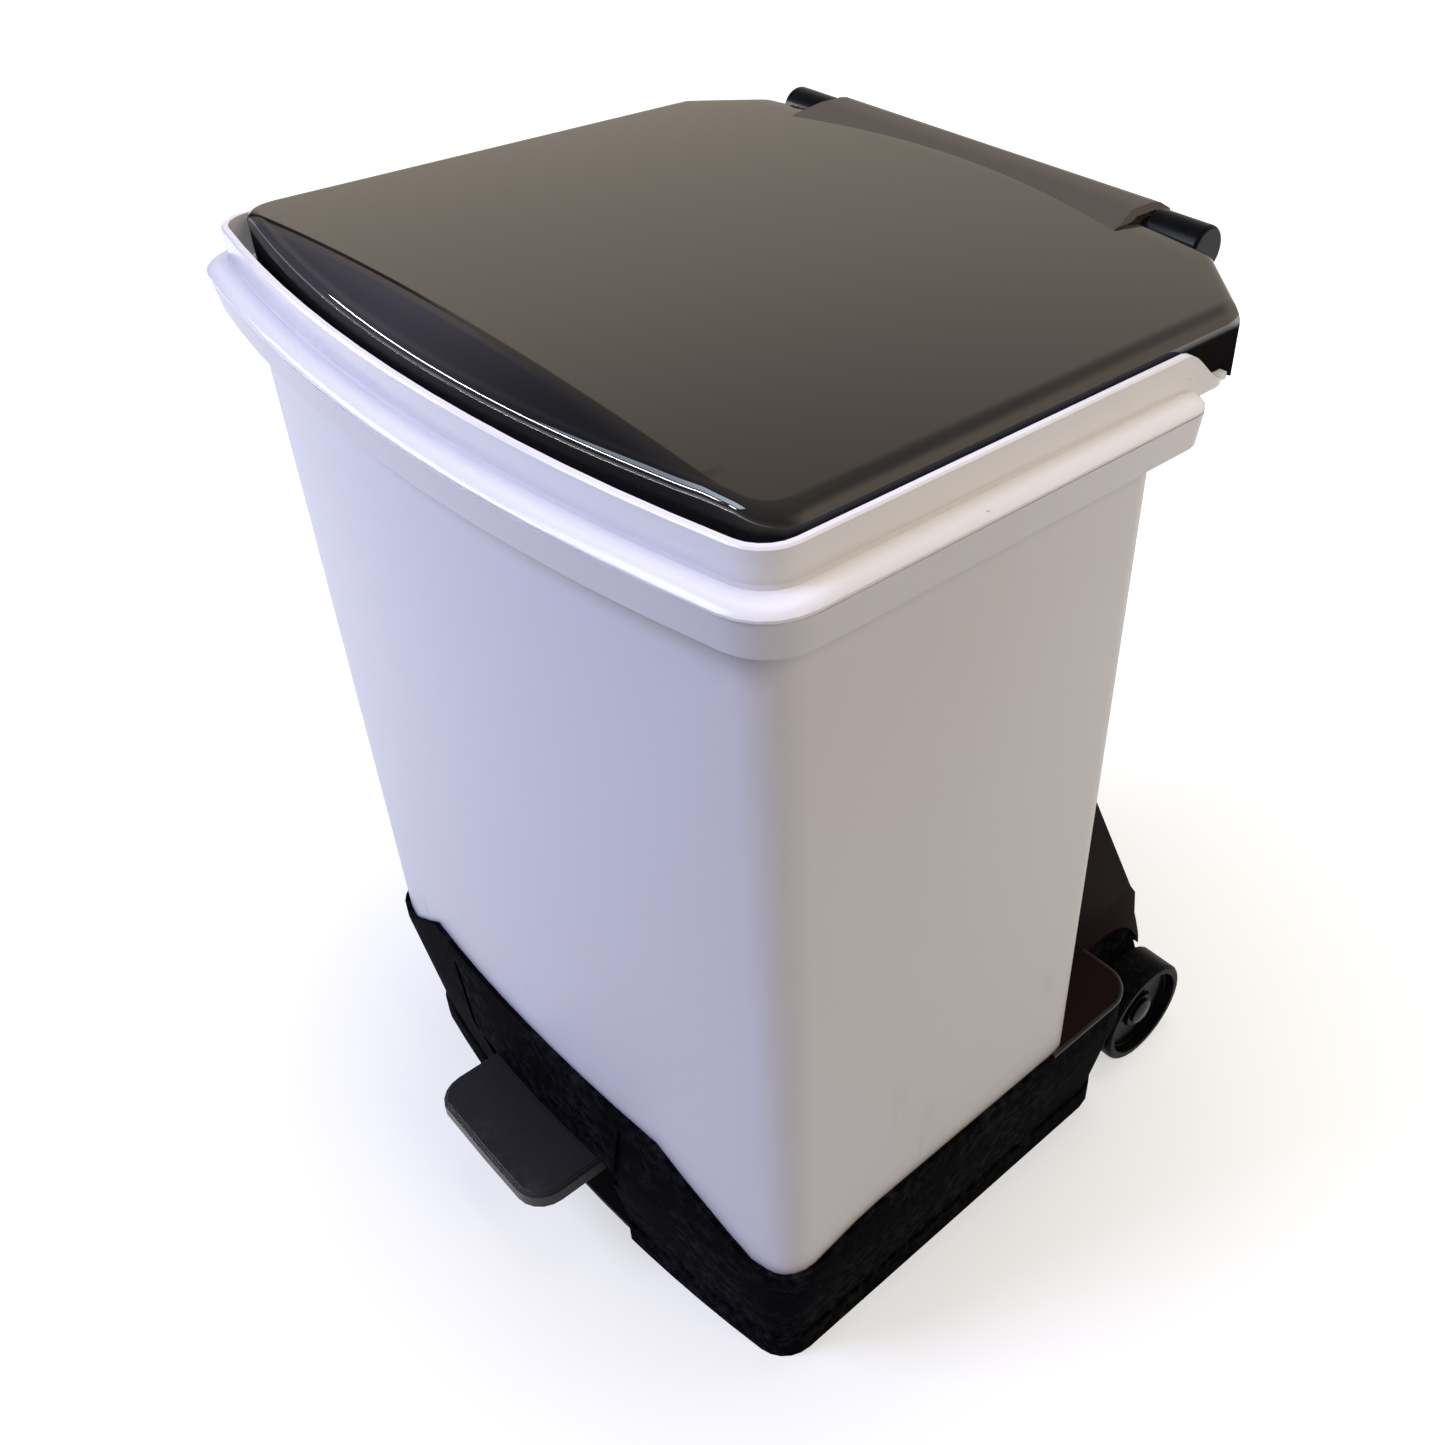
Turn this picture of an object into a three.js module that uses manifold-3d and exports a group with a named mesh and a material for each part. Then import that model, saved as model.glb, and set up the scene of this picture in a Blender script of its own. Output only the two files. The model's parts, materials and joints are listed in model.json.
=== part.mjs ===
// Pedal bin on two rear wheels: white bucket with a bag ring, dark lid, black base, spine and pedal linkage.
// Millimetres, +Z up. The front faces -Y, and the origin is on the floor under the middle of the bin.
import * as THREE from 'three';
import { mergeVertices } from 'three/addons/utils/BufferGeometryUtils.js';
import Module from 'manifold-3d';

const wasm = await Module();
wasm.setup();

// Driving sizes of the bucket and its bag ring
const BUCKET_HALF_WIDTH = 177.5;
const BUCKET_FOOT_HALF_WIDTH = 176;
const BUCKET_FRONT_Y = -136;
const BUCKET_BOW = 21.5;
const BUCKET_FRONT_RADIUS = 21;
const BUCKET_FOOT_RADIUS = 18;
const BUCKET_REAR_Y = 65.5;
const BUCKET_REAR_RADIUS = 14;
const BUCKET_WALL = 2.8;
const RIM_Z = 479.3;
const RIM_FLANGE = 3;
const BAND_OVERHANG = 13.5;
const BAND_DRAFT = 2;
const BAND_HEIGHT = 14.8;
const BAND_WALL = 2.6;
const BAND_REAR_REACH = 9;
const BAND_REAR_RADIUS = 10;
const RING_WALL_HEIGHT = 20.1;
const RING_WALL = 2.9;
const RING_LEDGE = 2.3;
const RING_LEDGE_WIDTH = 9;
const RING_SKIRT_DEPTH = 13;
const RING_TAIL = 5;
const RING_TAIL_DROP = 0.6;
const RING_DROP_LENGTH = 29;
const RING_REAR_REACH = 28;
const RING_REAR_RADIUS = 8;
const BEAD_HEIGHT = 5;

// Driving sizes of the lid
const LID_SIDE_GAP = 6.2;
const LID_WALL = 2.5;
const LID_EDGE_RISE = 5;
const LID_CROWN = 9;
const LID_LIP_DROP = 3;
const LID_LENS_END = 2;
const LENS_EDGE_SHARE = 0.4;
const LID_TAIL = 71.1;
const LID_CUT_LENGTH = 32.6;
const LID_CUT_WIDTH = 36;
const LID_FRONT_RADIUS = 12;
const LID_TAIL_SKIRT = 6;
const LID_TAIL_CLEARANCE = 3;

// Driving sizes of the hinge
const HINGE_Y = 147.4;
const HINGE_Z = 503.5;
const HOOD_HALF_LENGTH = 101;
const HOOD_TOP_RISE = 11.7;
const HOOD_TOP_DEPTH = 15.6;
const HOOD_REAR_REACH = 12.6;
const HOOD_SKIRT = 4.5;
const HOOD_END_CHAMFER = 3.5;
const HOOD_FACET_SLOPE = 0.26;
const HOOD_FACET_REACH = 30;
const SHAFT_RADIUS = 5;
const BOSS_RADIUS = 8.6;
const KNUCKLE_WIDTH = 8;
const CAP_RADIUS = 10.25;
const CAP_LENGTH = 27.4;
const CAP_GAP = 1;
const CAP_CHAMFER = 1;

// Driving sizes of the base
const DECK_Z = 82;
const DECK_THICKNESS = 4;
const BASE_WALL = 3;
const BASE_FOOT_HALF_WIDTH = 167;
const BASE_FOOT_FRONT_Y = -134.4;
const BASE_FOOT_BOW = 15.2;
const BASE_FOOT_RADIUS = 19.5;
const BASE_REAR_Y = 119;
const BASE_REAR_RADIUS = 20;
const BASE_RIM_WALL = 2.4;
const BASE_RIM_Z = 103;
const BASE_CORNER_DIP = 9;
const BASE_CREST_Z = 145;
const BASE_CREST_SAG = 6.5;
const BASE_CREST_HALF_WIDTH = 97;
const BASE_CREST_FALL_RUN = 56;
const FOOT_LIP_HEIGHT = 15.6;
const FOOT_LIP_STEP = 1.5;
const TAIL_HALF_WIDTH = 134;
const TAIL_REAR_Y = 187;
const TAIL_WALL_TOP = 94;
const NOTCH_RADIUS = 12;
const PEDAL_SLOT_HALF_WIDTH = 53;
const PEDAL_SLOT_TOP_HALF_WIDTH = 61;
const PEDAL_SLOT_SHOULDER = 58;
const PEDAL_SLOT_TOP = 81.9;
const GROOVE_WIDTH = 5;
const GROOVE_DEPTH = 1.6;
const GROOVE_LEAN = 15;
const GROOVE_TOP = 128;
const UNDERPLATE_THICKNESS = 3;

// Driving sizes of the spine and the housing
const SPINE_HALF_WIDTH = 98;
const SPINE_DEPTH = 69.1;
const SPINE_WALL = 3;
const SPINE_TOP = 476;
const HOUSING_TOP_Z = 320;
const HOUSING_KNEE_Y = 167;
const HOUSING_KNEE_Z = 117;
const HOUSING_WALL = 2.5;
const ARCH_LIP_FLARE = 3.5;
const ARCH_LIP_EDGE = 2;
const ARCH_LIP_HEIGHT = 13;
const BRACKET_INNER_X = 62;
const BRACKET_WIDTH = 8;
const BRACKET_HEIGHT = 50;
const BRACKET_BLOCK_DEPTH = 40;
const BRACKET_LEAN = 1.36;

// Driving sizes of the pedal linkage
const PIVOT_Y = -35;
const PIVOT_Z = 48;
const PIVOT_RADIUS = 4;
const PEDAL_HALF_WIDTH = 48.5;
const PEDAL_FRONT_Y = -196.5;
const PEDAL_DEPTH = 73;
const PEDAL_TOP_Z = 77;
const PEDAL_RIM = 10;
const PEDAL_WALL = 3;
const PEDAL_SKIN = 4;
const PEDAL_CORNER = 16;
const LEVER_HALF_WIDTH = 12.5;
const LEVER_THICKNESS = 5;
const LEVER_END_DROP = 17;
const ROD_RADIUS = 4;
const ROD_SETBACK = 24.5;
const ROD_PAD_RADIUS = 8;
const ROD_PAD_HEIGHT = 9;
const CRANK_REACH = 21.3;
const CRANK_DROP = 17.9;
const CRANK_PIN_RADIUS = 5;
const CRANK_HALF_WIDTH = 5;
const CRANK_LIFT_GAP = 1.2;

// Driving sizes of the wheels
const AXLE_Y = 158.7;
const AXLE_Z = 34.8;
const AXLE_RADIUS = 4;
const WHEEL_RADIUS = 34;
const WHEEL_WIDTH = 24.3;
const WHEEL_SIDE_GAP = 6;
const WHEEL_DISH = 5.5;
const WHEEL_RIM_WIDTH = 5.5;
const WHEEL_EDGE = 1.5;
const HUB_RADIUS = 12;

// Driving sizes of the screws
const SCREW_RADIUS = 1.8;
const SCREW_HEAD_RADIUS = 3.8;
const SCREW_HEAD = 2.4;

// Clearances
const GAP = 0.3;
const SEAT_GAP = 0.4;
const BORE_GAP = 0.35;
const OVERRUN = 2;

// Share of each outline's offset that shows as depth at the front of the ring
const RING_FRONT_SHARE = 0.81;
const RING_RADIUS_SHARE = 0.716;

// Counts of the steps along round outlines
const BOW_STEPS = 7;
const CORNER_STEPS = 5;
const REAR_STEPS = 4;
const ROUND_STEPS = 32;
const SMALL_ROUND_STEPS = 12;

const MATERIALS = {
  bucket: { color: 0xd9d8de, roughness: 0.42, metalness: 0 },
  ring: { color: 0xf0f0f4, roughness: 0.22, metalness: 0 },
  lid: { color: 0x453f3a, roughness: 0.12, metalness: 0 },
  black: { color: 0x0f0f10, roughness: 0.55, metalness: 0 },
  pedal: { color: 0x1b1b1d, roughness: 0.5, metalness: 0 },
  gloss: { color: 0x121213, roughness: 0.2, metalness: 0 },
  steel: { color: 0x9a9c9f, roughness: 0.35, metalness: 0.9 },
  rubber: { color: 0x161616, roughness: 0.9, metalness: 0 },
};

const bin = new THREE.Group();

// Adds one named piece to the bin
function addPiece(name, geometry, finish) {
  const mesh = new THREE.Mesh(geometry, new THREE.MeshStandardMaterial(MATERIALS[finish]));
  mesh.name = name;
  bin.add(mesh);
  return mesh;
}

// Turns a closed three.js geometry into a solid that can be cut and joined
function toSolid(geometry) {
  const bare = geometry.clone();
  bare.deleteAttribute('normal');
  bare.deleteAttribute('uv');
  const merged = mergeVertices(bare, 1e-4);
  return new wasm.Manifold(new wasm.Mesh({
    numProp: 3,
    vertProperties: new Float32Array(merged.attributes.position.array),
    triVerts: new Uint32Array(merged.index.array),
  }));
}

// Turns a solid back into a three.js geometry
function toGeometry(solid) {
  const mesh = solid.getMesh();
  const geometry = new THREE.BufferGeometry();
  geometry.setAttribute('position', new THREE.BufferAttribute(Float32Array.from(mesh.vertProperties), 3));
  geometry.setIndex(Array.from(mesh.triVerts));
  geometry.computeVertexNormals();
  return geometry;
}

// Joins several solids into one
function join(solids) {
  return solids.reduce((whole, solid) => whole.add(solid));
}

// Cuts several solids out of one
function cut(solid, cutters) {
  return cutters.reduce((rest, cutter) => rest.subtract(cutter), solid);
}

// A box between two corners
function box(low, high) {
  const size = high.map((value, i) => value - low[i]);
  const geometry = new THREE.BoxGeometry(...size);
  geometry.translate(...low.map((value, i) => value + size[i] / 2));
  return toSolid(geometry);
}

// A cylinder along X between two places, at a given y and z
function barX(radius, x0, x1, y, z, sides = ROUND_STEPS) {
  const geometry = new THREE.CylinderGeometry(radius, radius, x1 - x0, sides);
  geometry.rotateZ(Math.PI / 2);
  geometry.translate((x0 + x1) / 2, y, z);
  return toSolid(geometry);
}

// A cylinder along Z between two heights
function barZ(radius, x, y, z0, z1, sides = ROUND_STEPS) {
  const geometry = new THREE.CylinderGeometry(radius, radius, z1 - z0, sides);
  geometry.rotateX(Math.PI / 2);
  geometry.translate(x, y, (z0 + z1) / 2);
  return toSolid(geometry);
}

// A cylinder along Y between two places
function barY(radius, x, z, y0, y1, sides = ROUND_STEPS) {
  const geometry = new THREE.CylinderGeometry(radius, radius, y1 - y0, sides);
  geometry.translate(x, (y0 + y1) / 2, z);
  return toSolid(geometry);
}

// A plate whose outline lies in Y and Z, between two places along X
function plateX(points, x0, x1) {
  const shape = new THREE.Shape(points.map(([y, z]) => new THREE.Vector2(y, z)));
  const geometry = new THREE.ExtrudeGeometry(shape, { depth: x1 - x0, bevelEnabled: false });
  geometry.applyMatrix4(new THREE.Matrix4().makeBasis(
    new THREE.Vector3(0, 1, 0), new THREE.Vector3(0, 0, 1), new THREE.Vector3(1, 0, 0)));
  geometry.translate(x0, 0, 0);
  return toSolid(geometry);
}

// A plate whose outline lies in X and Z, between two places along Y
function plateY(points, y0, y1) {
  const shape = new THREE.Shape(points.map(([x, z]) => new THREE.Vector2(x, z)));
  const geometry = new THREE.ExtrudeGeometry(shape, { depth: y1 - y0, bevelEnabled: false });
  geometry.rotateX(Math.PI / 2);
  geometry.translate(0, y1, 0);
  return toSolid(geometry);
}

// A plate whose outline lies in X and Y, between two heights
function plateZ(points, z0, z1) {
  const shape = new THREE.Shape(points.map(([x, y]) => new THREE.Vector2(x, y)));
  const geometry = new THREE.ExtrudeGeometry(shape, { depth: z1 - z0, bevelEnabled: false });
  geometry.translate(0, 0, z0);
  return toSolid(geometry);
}

// A turned piece about an axis along X, from its radius and place pairs
function turnedX(profile, y, z) {
  const closed = [...profile, profile[0]].map(([radius, along]) => new THREE.Vector2(radius, along));
  const geometry = new THREE.LatheGeometry(closed, ROUND_STEPS);
  geometry.rotateZ(-Math.PI / 2);
  geometry.translate(0, y, z);
  return toSolid(geometry);
}

// Points on an arc, from one angle to another
function arc(cx, cy, radius, from, to, steps) {
  return Array.from({ length: steps + 1 }, (_, i) => {
    const angle = from + (to - from) * i / steps;
    return [cx + radius * Math.cos(angle), cy + radius * Math.sin(angle)];
  });
}

// Right half of a plan outline with a bowed front: from the middle of the front to the rear corner
function rightHalf({ halfWidth, frontY, bow, frontRadius, rearY, rearRadius }) {
  const bowRadius = (halfWidth ** 2 + bow ** 2) / (2 * bow);
  const bowY = frontY - bow + bowRadius;
  const cornerX = halfWidth - frontRadius;
  const cornerY = bowY - Math.sqrt((bowRadius - frontRadius) ** 2 - cornerX ** 2);
  const turn = Math.atan2(cornerY - bowY, cornerX);
  return [
    ...arc(0, bowY, bowRadius, -Math.PI / 2, turn, BOW_STEPS),
    ...arc(cornerX, cornerY, frontRadius, turn, 0, CORNER_STEPS).slice(1),
    ...arc(halfWidth - rearRadius, rearY - rearRadius, rearRadius, 0, Math.PI / 2, REAR_STEPS),
  ];
}

// Whole outline from its right half, anticlockwise
function mirrored(half) {
  const left = half.slice(1).reverse().map(([x, y]) => [-x, y]);
  return [...half, ...left];
}

function outline(plan) {
  return mirrored(rightHalf(plan));
}

// The same plan, drawn in by a distance on every side
function inset(plan, distance) {
  return {
    halfWidth: plan.halfWidth - distance,
    frontY: plan.frontY + distance,
    bow: plan.bow,
    frontRadius: Math.max(plan.frontRadius - distance, plan.frontRadius / 3),
    rearY: plan.rearY - distance,
    rearRadius: Math.max(plan.rearRadius - distance, plan.rearRadius / 3),
  };
}

// A plan part of the way from one plan to another
function between(a, b, share) {
  return Object.fromEntries(Object.keys(a).map((key) => [key, a[key] + (b[key] - a[key]) * share]));
}

// A solid through sections with equally many points, closed by a cap at each end
function loft(sections, flatten) {
  const count = sections[0].length;
  const faces = [];
  for (let level = 0; level + 1 < sections.length; level += 1) {
    for (let i = 0; i < count; i += 1) {
      const a = level * count + i;
      const b = level * count + (i + 1) % count;
      faces.push(a, b, b + count, a, b + count, a + count);
    }
  }
  const cap = (section) => THREE.ShapeUtils.triangulateShape(
    section.map((point) => new THREE.Vector2(...flatten(point))), []);
  const last = (sections.length - 1) * count;
  for (const [a, b, c] of cap(sections[0])) {
    faces.push(a, c, b);
  }
  for (const [a, b, c] of cap(sections[sections.length - 1])) {
    faces.push(last + a, last + b, last + c);
  }
  const geometry = new THREE.BufferGeometry();
  geometry.setAttribute('position', new THREE.Float32BufferAttribute(sections.flat(2), 3));
  geometry.setIndex(faces);
  return toSolid(geometry);
}

// A solid through a stack of plan outlines, each with its height
function stack(levels) {
  return loft(levels.map(({ plan, z }) => outline(plan).map(([x, y]) => [x, y, z])), ([x, y]) => [x, y]);
}

// A block with a flat bottom and a top that follows a height over rows of places in plan
function heightBlock(rows, bottom, height) {
  const positions = [];
  const faces = [];
  const across = rows[0].length;
  for (const layer of [() => bottom, height]) {
    for (const [x, y] of rows.flat()) {
      positions.push(x, y, layer(x, y));
    }
  }
  const sheet = across * rows.length;
  const quad = (a, b, c, d) => faces.push(a, b, c, a, c, d);
  for (let j = 0; j + 1 < rows.length; j += 1) {
    for (let i = 0; i + 1 < across; i += 1) {
      const a = j * across + i;
      quad(a, a + across, a + across + 1, a + 1);
      quad(sheet + a, sheet + a + 1, sheet + a + across + 1, sheet + a + across);
    }
  }
  for (let i = 0; i + 1 < across; i += 1) {
    const far = (rows.length - 1) * across + i;
    quad(i, i + 1, sheet + i + 1, sheet + i);
    quad(far + 1, far, sheet + far, sheet + far + 1);
  }
  for (let j = 0; j + 1 < rows.length; j += 1) {
    const near = j * across;
    const far = near + across - 1;
    quad(near + across, near, sheet + near, sheet + near + across);
    quad(far, far + across, sheet + far + across, sheet + far);
  }
  const geometry = new THREE.BufferGeometry();
  geometry.setAttribute('position', new THREE.Float32BufferAttribute(positions, 3));
  geometry.setIndex(faces);
  return toSolid(geometry);
}

// Even steps from one value to another
function steps(from, to, count) {
  return Array.from({ length: count + 1 }, (_, i) => from + (to - from) * i / count);
}

// Eases from 0 to 1 with level ends
function ease(share) {
  const held = Math.min(Math.max(share, 0), 1);
  return held * held * (3 - 2 * held);
}

// Plans of the bucket
const DECK_TOP = DECK_Z + DECK_THICKNESS;
const BUCKET_FOOT_Z = DECK_TOP + GAP;
const BAND_FOOT_Z = RIM_Z - BAND_HEIGHT;

const bucketTop = {
  halfWidth: BUCKET_HALF_WIDTH,
  frontY: BUCKET_FRONT_Y,
  bow: BUCKET_BOW,
  frontRadius: BUCKET_FRONT_RADIUS,
  rearY: BUCKET_REAR_Y,
  rearRadius: BUCKET_REAR_RADIUS,
};
const bucketFoot = { ...bucketTop, halfWidth: BUCKET_FOOT_HALF_WIDTH, frontRadius: BUCKET_FOOT_RADIUS };

// Outside of the bucket at a height
function bucketPlan(z) {
  return between(bucketFoot, bucketTop, (z - BUCKET_FOOT_Z) / (BAND_FOOT_Z - BUCKET_FOOT_Z));
}

const bandTop = {
  halfWidth: BUCKET_HALF_WIDTH + BAND_OVERHANG,
  frontY: BUCKET_FRONT_Y - BAND_OVERHANG * RING_FRONT_SHARE,
  bow: BUCKET_BOW,
  frontRadius: BUCKET_FRONT_RADIUS + BAND_OVERHANG / 3,
  rearY: BUCKET_REAR_Y + BAND_REAR_REACH,
  rearRadius: BAND_REAR_RADIUS,
};
const bandFoot = { ...inset(bandTop, BAND_DRAFT), rearY: bandTop.rearY, rearRadius: bandTop.rearRadius };

function makeBucket() {
  const shell = stack([
    { plan: bucketFoot, z: BUCKET_FOOT_Z },
    { plan: bucketTop, z: BAND_FOOT_Z },
    { plan: bucketTop, z: RIM_Z },
  ]);
  const flange = stack([
    { plan: inset(bucketTop, -RIM_FLANGE), z: RIM_Z - RIM_FLANGE },
    { plan: inset(bucketTop, -RIM_FLANGE), z: RIM_Z },
  ]);
  const band = stack([{ plan: bandFoot, z: BAND_FOOT_Z }, { plan: bandTop, z: RIM_Z }]);
  const bandInside = stack([
    { plan: inset(bandFoot, BAND_WALL), z: BAND_FOOT_Z - OVERRUN },
    { plan: inset(bandTop, BAND_WALL), z: RIM_Z - BAND_WALL },
  ]);
  const inside = stack([
    { plan: inset(bucketFoot, BUCKET_WALL), z: BUCKET_FOOT_Z + BUCKET_WALL },
    { plan: inset(bucketTop, BUCKET_WALL), z: BAND_FOOT_Z },
    { plan: inset(bucketTop, BUCKET_WALL), z: RIM_Z + OVERRUN },
  ]);
  const spineWay = box(
    [-SPINE_HALF_WIDTH - GAP * 3, BUCKET_REAR_Y, BAND_FOOT_Z - OVERRUN],
    [SPINE_HALF_WIDTH + GAP * 3, bandTop.rearY + OVERRUN, SPINE_TOP + GAP],
  );
  const rim = cut(band, [bandInside, spineWay]);
  return cut(join([shell, flange, rim]), [inside]);
}

// Plan of the bag ring at a distance out from its upright wall's inside
const ringInner = {
  halfWidth: BUCKET_HALF_WIDTH + GAP * 3,
  frontY: BUCKET_FRONT_Y - 1,
  bow: BUCKET_BOW - 2,
  frontRadius: BUCKET_FRONT_RADIUS - 6,
  rearY: BUCKET_REAR_Y + RING_REAR_REACH,
  rearRadius: RING_REAR_RADIUS,
};

function ringPlan(out) {
  return {
    halfWidth: ringInner.halfWidth + out,
    frontY: ringInner.frontY - out * RING_FRONT_SHARE,
    bow: ringInner.bow + out / 8,
    frontRadius: ringInner.frontRadius + out * RING_RADIUS_SHARE,
    rearY: ringInner.rearY + out,
    rearRadius: ringInner.rearRadius,
  };
}

const RING_FOOT_Z = RIM_Z + GAP;
const LEDGE_Z = RING_FOOT_Z + RING_LEDGE;
const RING_TOP_Z = RING_FOOT_Z + RING_WALL_HEIGHT;

// The bead around the outside of the ring, shorter at the rear like the band below it
function makeBead() {
  const reach = BAND_OVERHANG;
  const profile = [
    [0.93, 0], [0.955, 0.12], [0.95, 0.3], [0.86, 0.6], [0.64, 0.86], [0.38, 0.96], [0.26, 1.1], [0.22, 1.4],
  ];
  return stack(profile.map(([outShare, upShare]) => ({
    plan: {
      ...ringPlan(reach * outShare),
      rearY: bandTop.rearY - reach * (1 - outShare) / 2,
      rearRadius: BAND_REAR_RADIUS,
    },
    z: RING_FOOT_Z + BEAD_HEIGHT * upShare,
  })));
}

// Everything above the wall's edge behind the sides, where the wall drops to the ledge
function makeRingDrop() {
  const startY = ringInner.rearY - RING_DROP_LENGTH;
  const fall = RING_TOP_Z - LEDGE_Z;
  const edge = steps(0, 1, 8).map((share) => [
    startY + RING_DROP_LENGTH * share,
    RING_TOP_Z - fall * ease(share),
  ]);
  const reach = ringInner.halfWidth + BAND_OVERHANG + OVERRUN;
  const rear = ringInner.rearY + RING_TAIL + OVERRUN;
  const points = [...edge, [rear, LEDGE_Z], [rear, RING_TOP_Z + OVERRUN], [startY, RING_TOP_Z + OVERRUN]];
  return plateX(points, -reach, reach);
}

function makeRing() {
  const wall = stack([
    { plan: ringPlan(RING_WALL), z: RING_FOOT_Z },
    { plan: ringPlan(RING_WALL), z: RING_TOP_Z - RING_WALL / 4 },
    { plan: ringPlan(RING_WALL * 0.75), z: RING_TOP_Z },
  ]);
  const tailHalfWidth = ringInner.halfWidth;
  const tail = box(
    [-tailHalfWidth, ringInner.rearY + RING_WALL - OVERRUN, RING_FOOT_Z - RING_TAIL_DROP],
    [tailHalfWidth, ringInner.rearY + RING_TAIL, LEDGE_Z],
  );
  const skirt = stack([
    { plan: inset(bucketTop, BUCKET_WALL + GAP * 2), z: RING_FOOT_Z - RING_SKIRT_DEPTH },
    { plan: inset(bucketTop, BUCKET_WALL + GAP * 2), z: RING_FOOT_Z + GAP },
  ]);
  const skirtInside = stack([
    { plan: inset(bucketTop, BUCKET_WALL * 2), z: RING_FOOT_Z - RING_SKIRT_DEPTH - OVERRUN },
    { plan: inset(bucketTop, BUCKET_WALL * 2), z: RING_FOOT_Z },
  ]);
  const mouth = stack([
    { plan: inset(bucketTop, RING_LEDGE_WIDTH), z: RING_FOOT_Z - RING_SKIRT_DEPTH - OVERRUN },
    { plan: inset(bucketTop, RING_LEDGE_WIDTH), z: RING_TOP_Z + OVERRUN },
  ]);
  const wallInside = stack([
    { plan: ringPlan(0), z: LEDGE_Z },
    { plan: ringPlan(0), z: RING_TOP_Z + OVERRUN },
  ]);
  const body = join([makeBead(), wall, tail, skirt]);
  return cut(body, [skirtInside, mouth, wallInside, makeRingDrop()]);
}

// Plan and heights of the lid
const lidPlan = {
  halfWidth: ringInner.halfWidth - LID_SIDE_GAP,
  frontY: ringInner.frontY + LID_SIDE_GAP,
  bow: ringInner.bow,
  frontRadius: LID_FRONT_RADIUS,
};
const LID_EDGE_Z = RING_TOP_Z + LID_EDGE_RISE;
const LID_REAR_Y = BUCKET_REAR_Y + LID_TAIL;
const LID_FOOT_Z = LEDGE_Z + GAP;
const LID_CREASE_Y = lidPlan.frontY;

// Lid outline with its two rear corners cut away
function lidOutline(distance) {
  const front = rightHalf({
    ...inset({ ...lidPlan, rearY: LID_REAR_Y, rearRadius: LID_FRONT_RADIUS }, distance),
  }).slice(0, BOW_STEPS + CORNER_STEPS + 1);
  const side = lidPlan.halfWidth - distance;
  const rear = LID_REAR_Y - distance;
  const cutShift = distance * (Math.SQRT2 - 1);
  const soften = LID_FRONT_RADIUS / 3;
  const start = [side, LID_REAR_Y - LID_CUT_LENGTH - cutShift];
  const end = [lidPlan.halfWidth - LID_CUT_WIDTH - cutShift, rear];
  const half = [
    ...front,
    [start[0], start[1] - soften],
    [start[0] - soften / 2, start[1] + soften / 2],
    [end[0] + soften / 2, end[1] - soften / 2],
    [end[0] - soften, end[1]],
  ];
  return mirrored(half);
}

// Depth of the lid's sloping front lens at a place across the lid
function lensReach(x) {
  const side = Math.min(Math.abs(x) / lidPlan.halfWidth, 1);
  return lidPlan.bow * (1 - side * side) + LID_LENS_END;
}

// Height of the lid's upper face: crowned from side to side, with a sloping lens along the front
function lidHeight(x, y) {
  const side = Math.min(Math.abs(x) / lidPlan.halfWidth, 1);
  const crown = LID_EDGE_Z + LID_CROWN * (1 - side * side);
  const lip = LID_EDGE_Z - LID_LIP_DROP;
  const share = Math.max(LID_CREASE_Y - y, 0) / lensReach(x);
  return crown - (crown - lip) * (LENS_EDGE_SHARE * share + (1 - LENS_EDGE_SHARE) * share * share);
}

function lidBlock(distance) {
  const reach = lidPlan.halfWidth + OVERRUN;
  const xs = steps(-reach, reach, 20);
  const lens = steps(1 + LENS_EDGE_SHARE, 0, 4).map((share) => xs.map((x) => [
    x, LID_CREASE_Y - share * lensReach(x),
  ]));
  const rows = [...lens, xs.map((x) => [x, LID_REAR_Y + OVERRUN])];
  const block = heightBlock(rows, LID_FOOT_Z - LID_TAIL_SKIRT - OVERRUN, (x, y) => lidHeight(x, y) - distance);
  const low = distance > 0 ? LID_FOOT_Z - LID_TAIL_SKIRT - OVERRUN : LID_FOOT_Z - LID_TAIL_SKIRT;
  const plan = plateZ(lidOutline(distance), low, LID_EDGE_Z + LID_CROWN + OVERRUN);
  return block.intersect(plan);
}

// Hood over the hinge, in Y and Z: a slope up from the lid, a flat top and a round back
function hoodProfile(distance) {
  const topZ = HINGE_Z + HOOD_TOP_RISE - distance;
  const frontY = HINGE_Y - HOOD_TOP_DEPTH * 0.8;
  const rearY = HINGE_Y + HOOD_REAR_REACH - distance;
  const footZ = distance > 0 ? HINGE_Z - HOOD_SKIRT - OVERRUN : HINGE_Z - HOOD_SKIRT;
  const bend = HOOD_TOP_RISE - distance / 2;
  const back = arc(rearY - bend, topZ - bend, bend, 0, Math.PI / 2, 4);
  const reach = distance > 0 ? HOOD_FACET_REACH / 2 : HOOD_FACET_REACH;
  return [
    [rearY, footZ],
    ...back,
    [frontY, topZ],
    [frontY - reach, topZ - reach * HOOD_FACET_SLOPE],
    [frontY - reach, footZ],
  ];
}

// A round boss on the hinge line with its web up to a height, for knuckles and brackets
function bossX(x0, x1) {
  return barX(BOSS_RADIUS, x0, x1, HINGE_Y, HINGE_Z);
}

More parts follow.
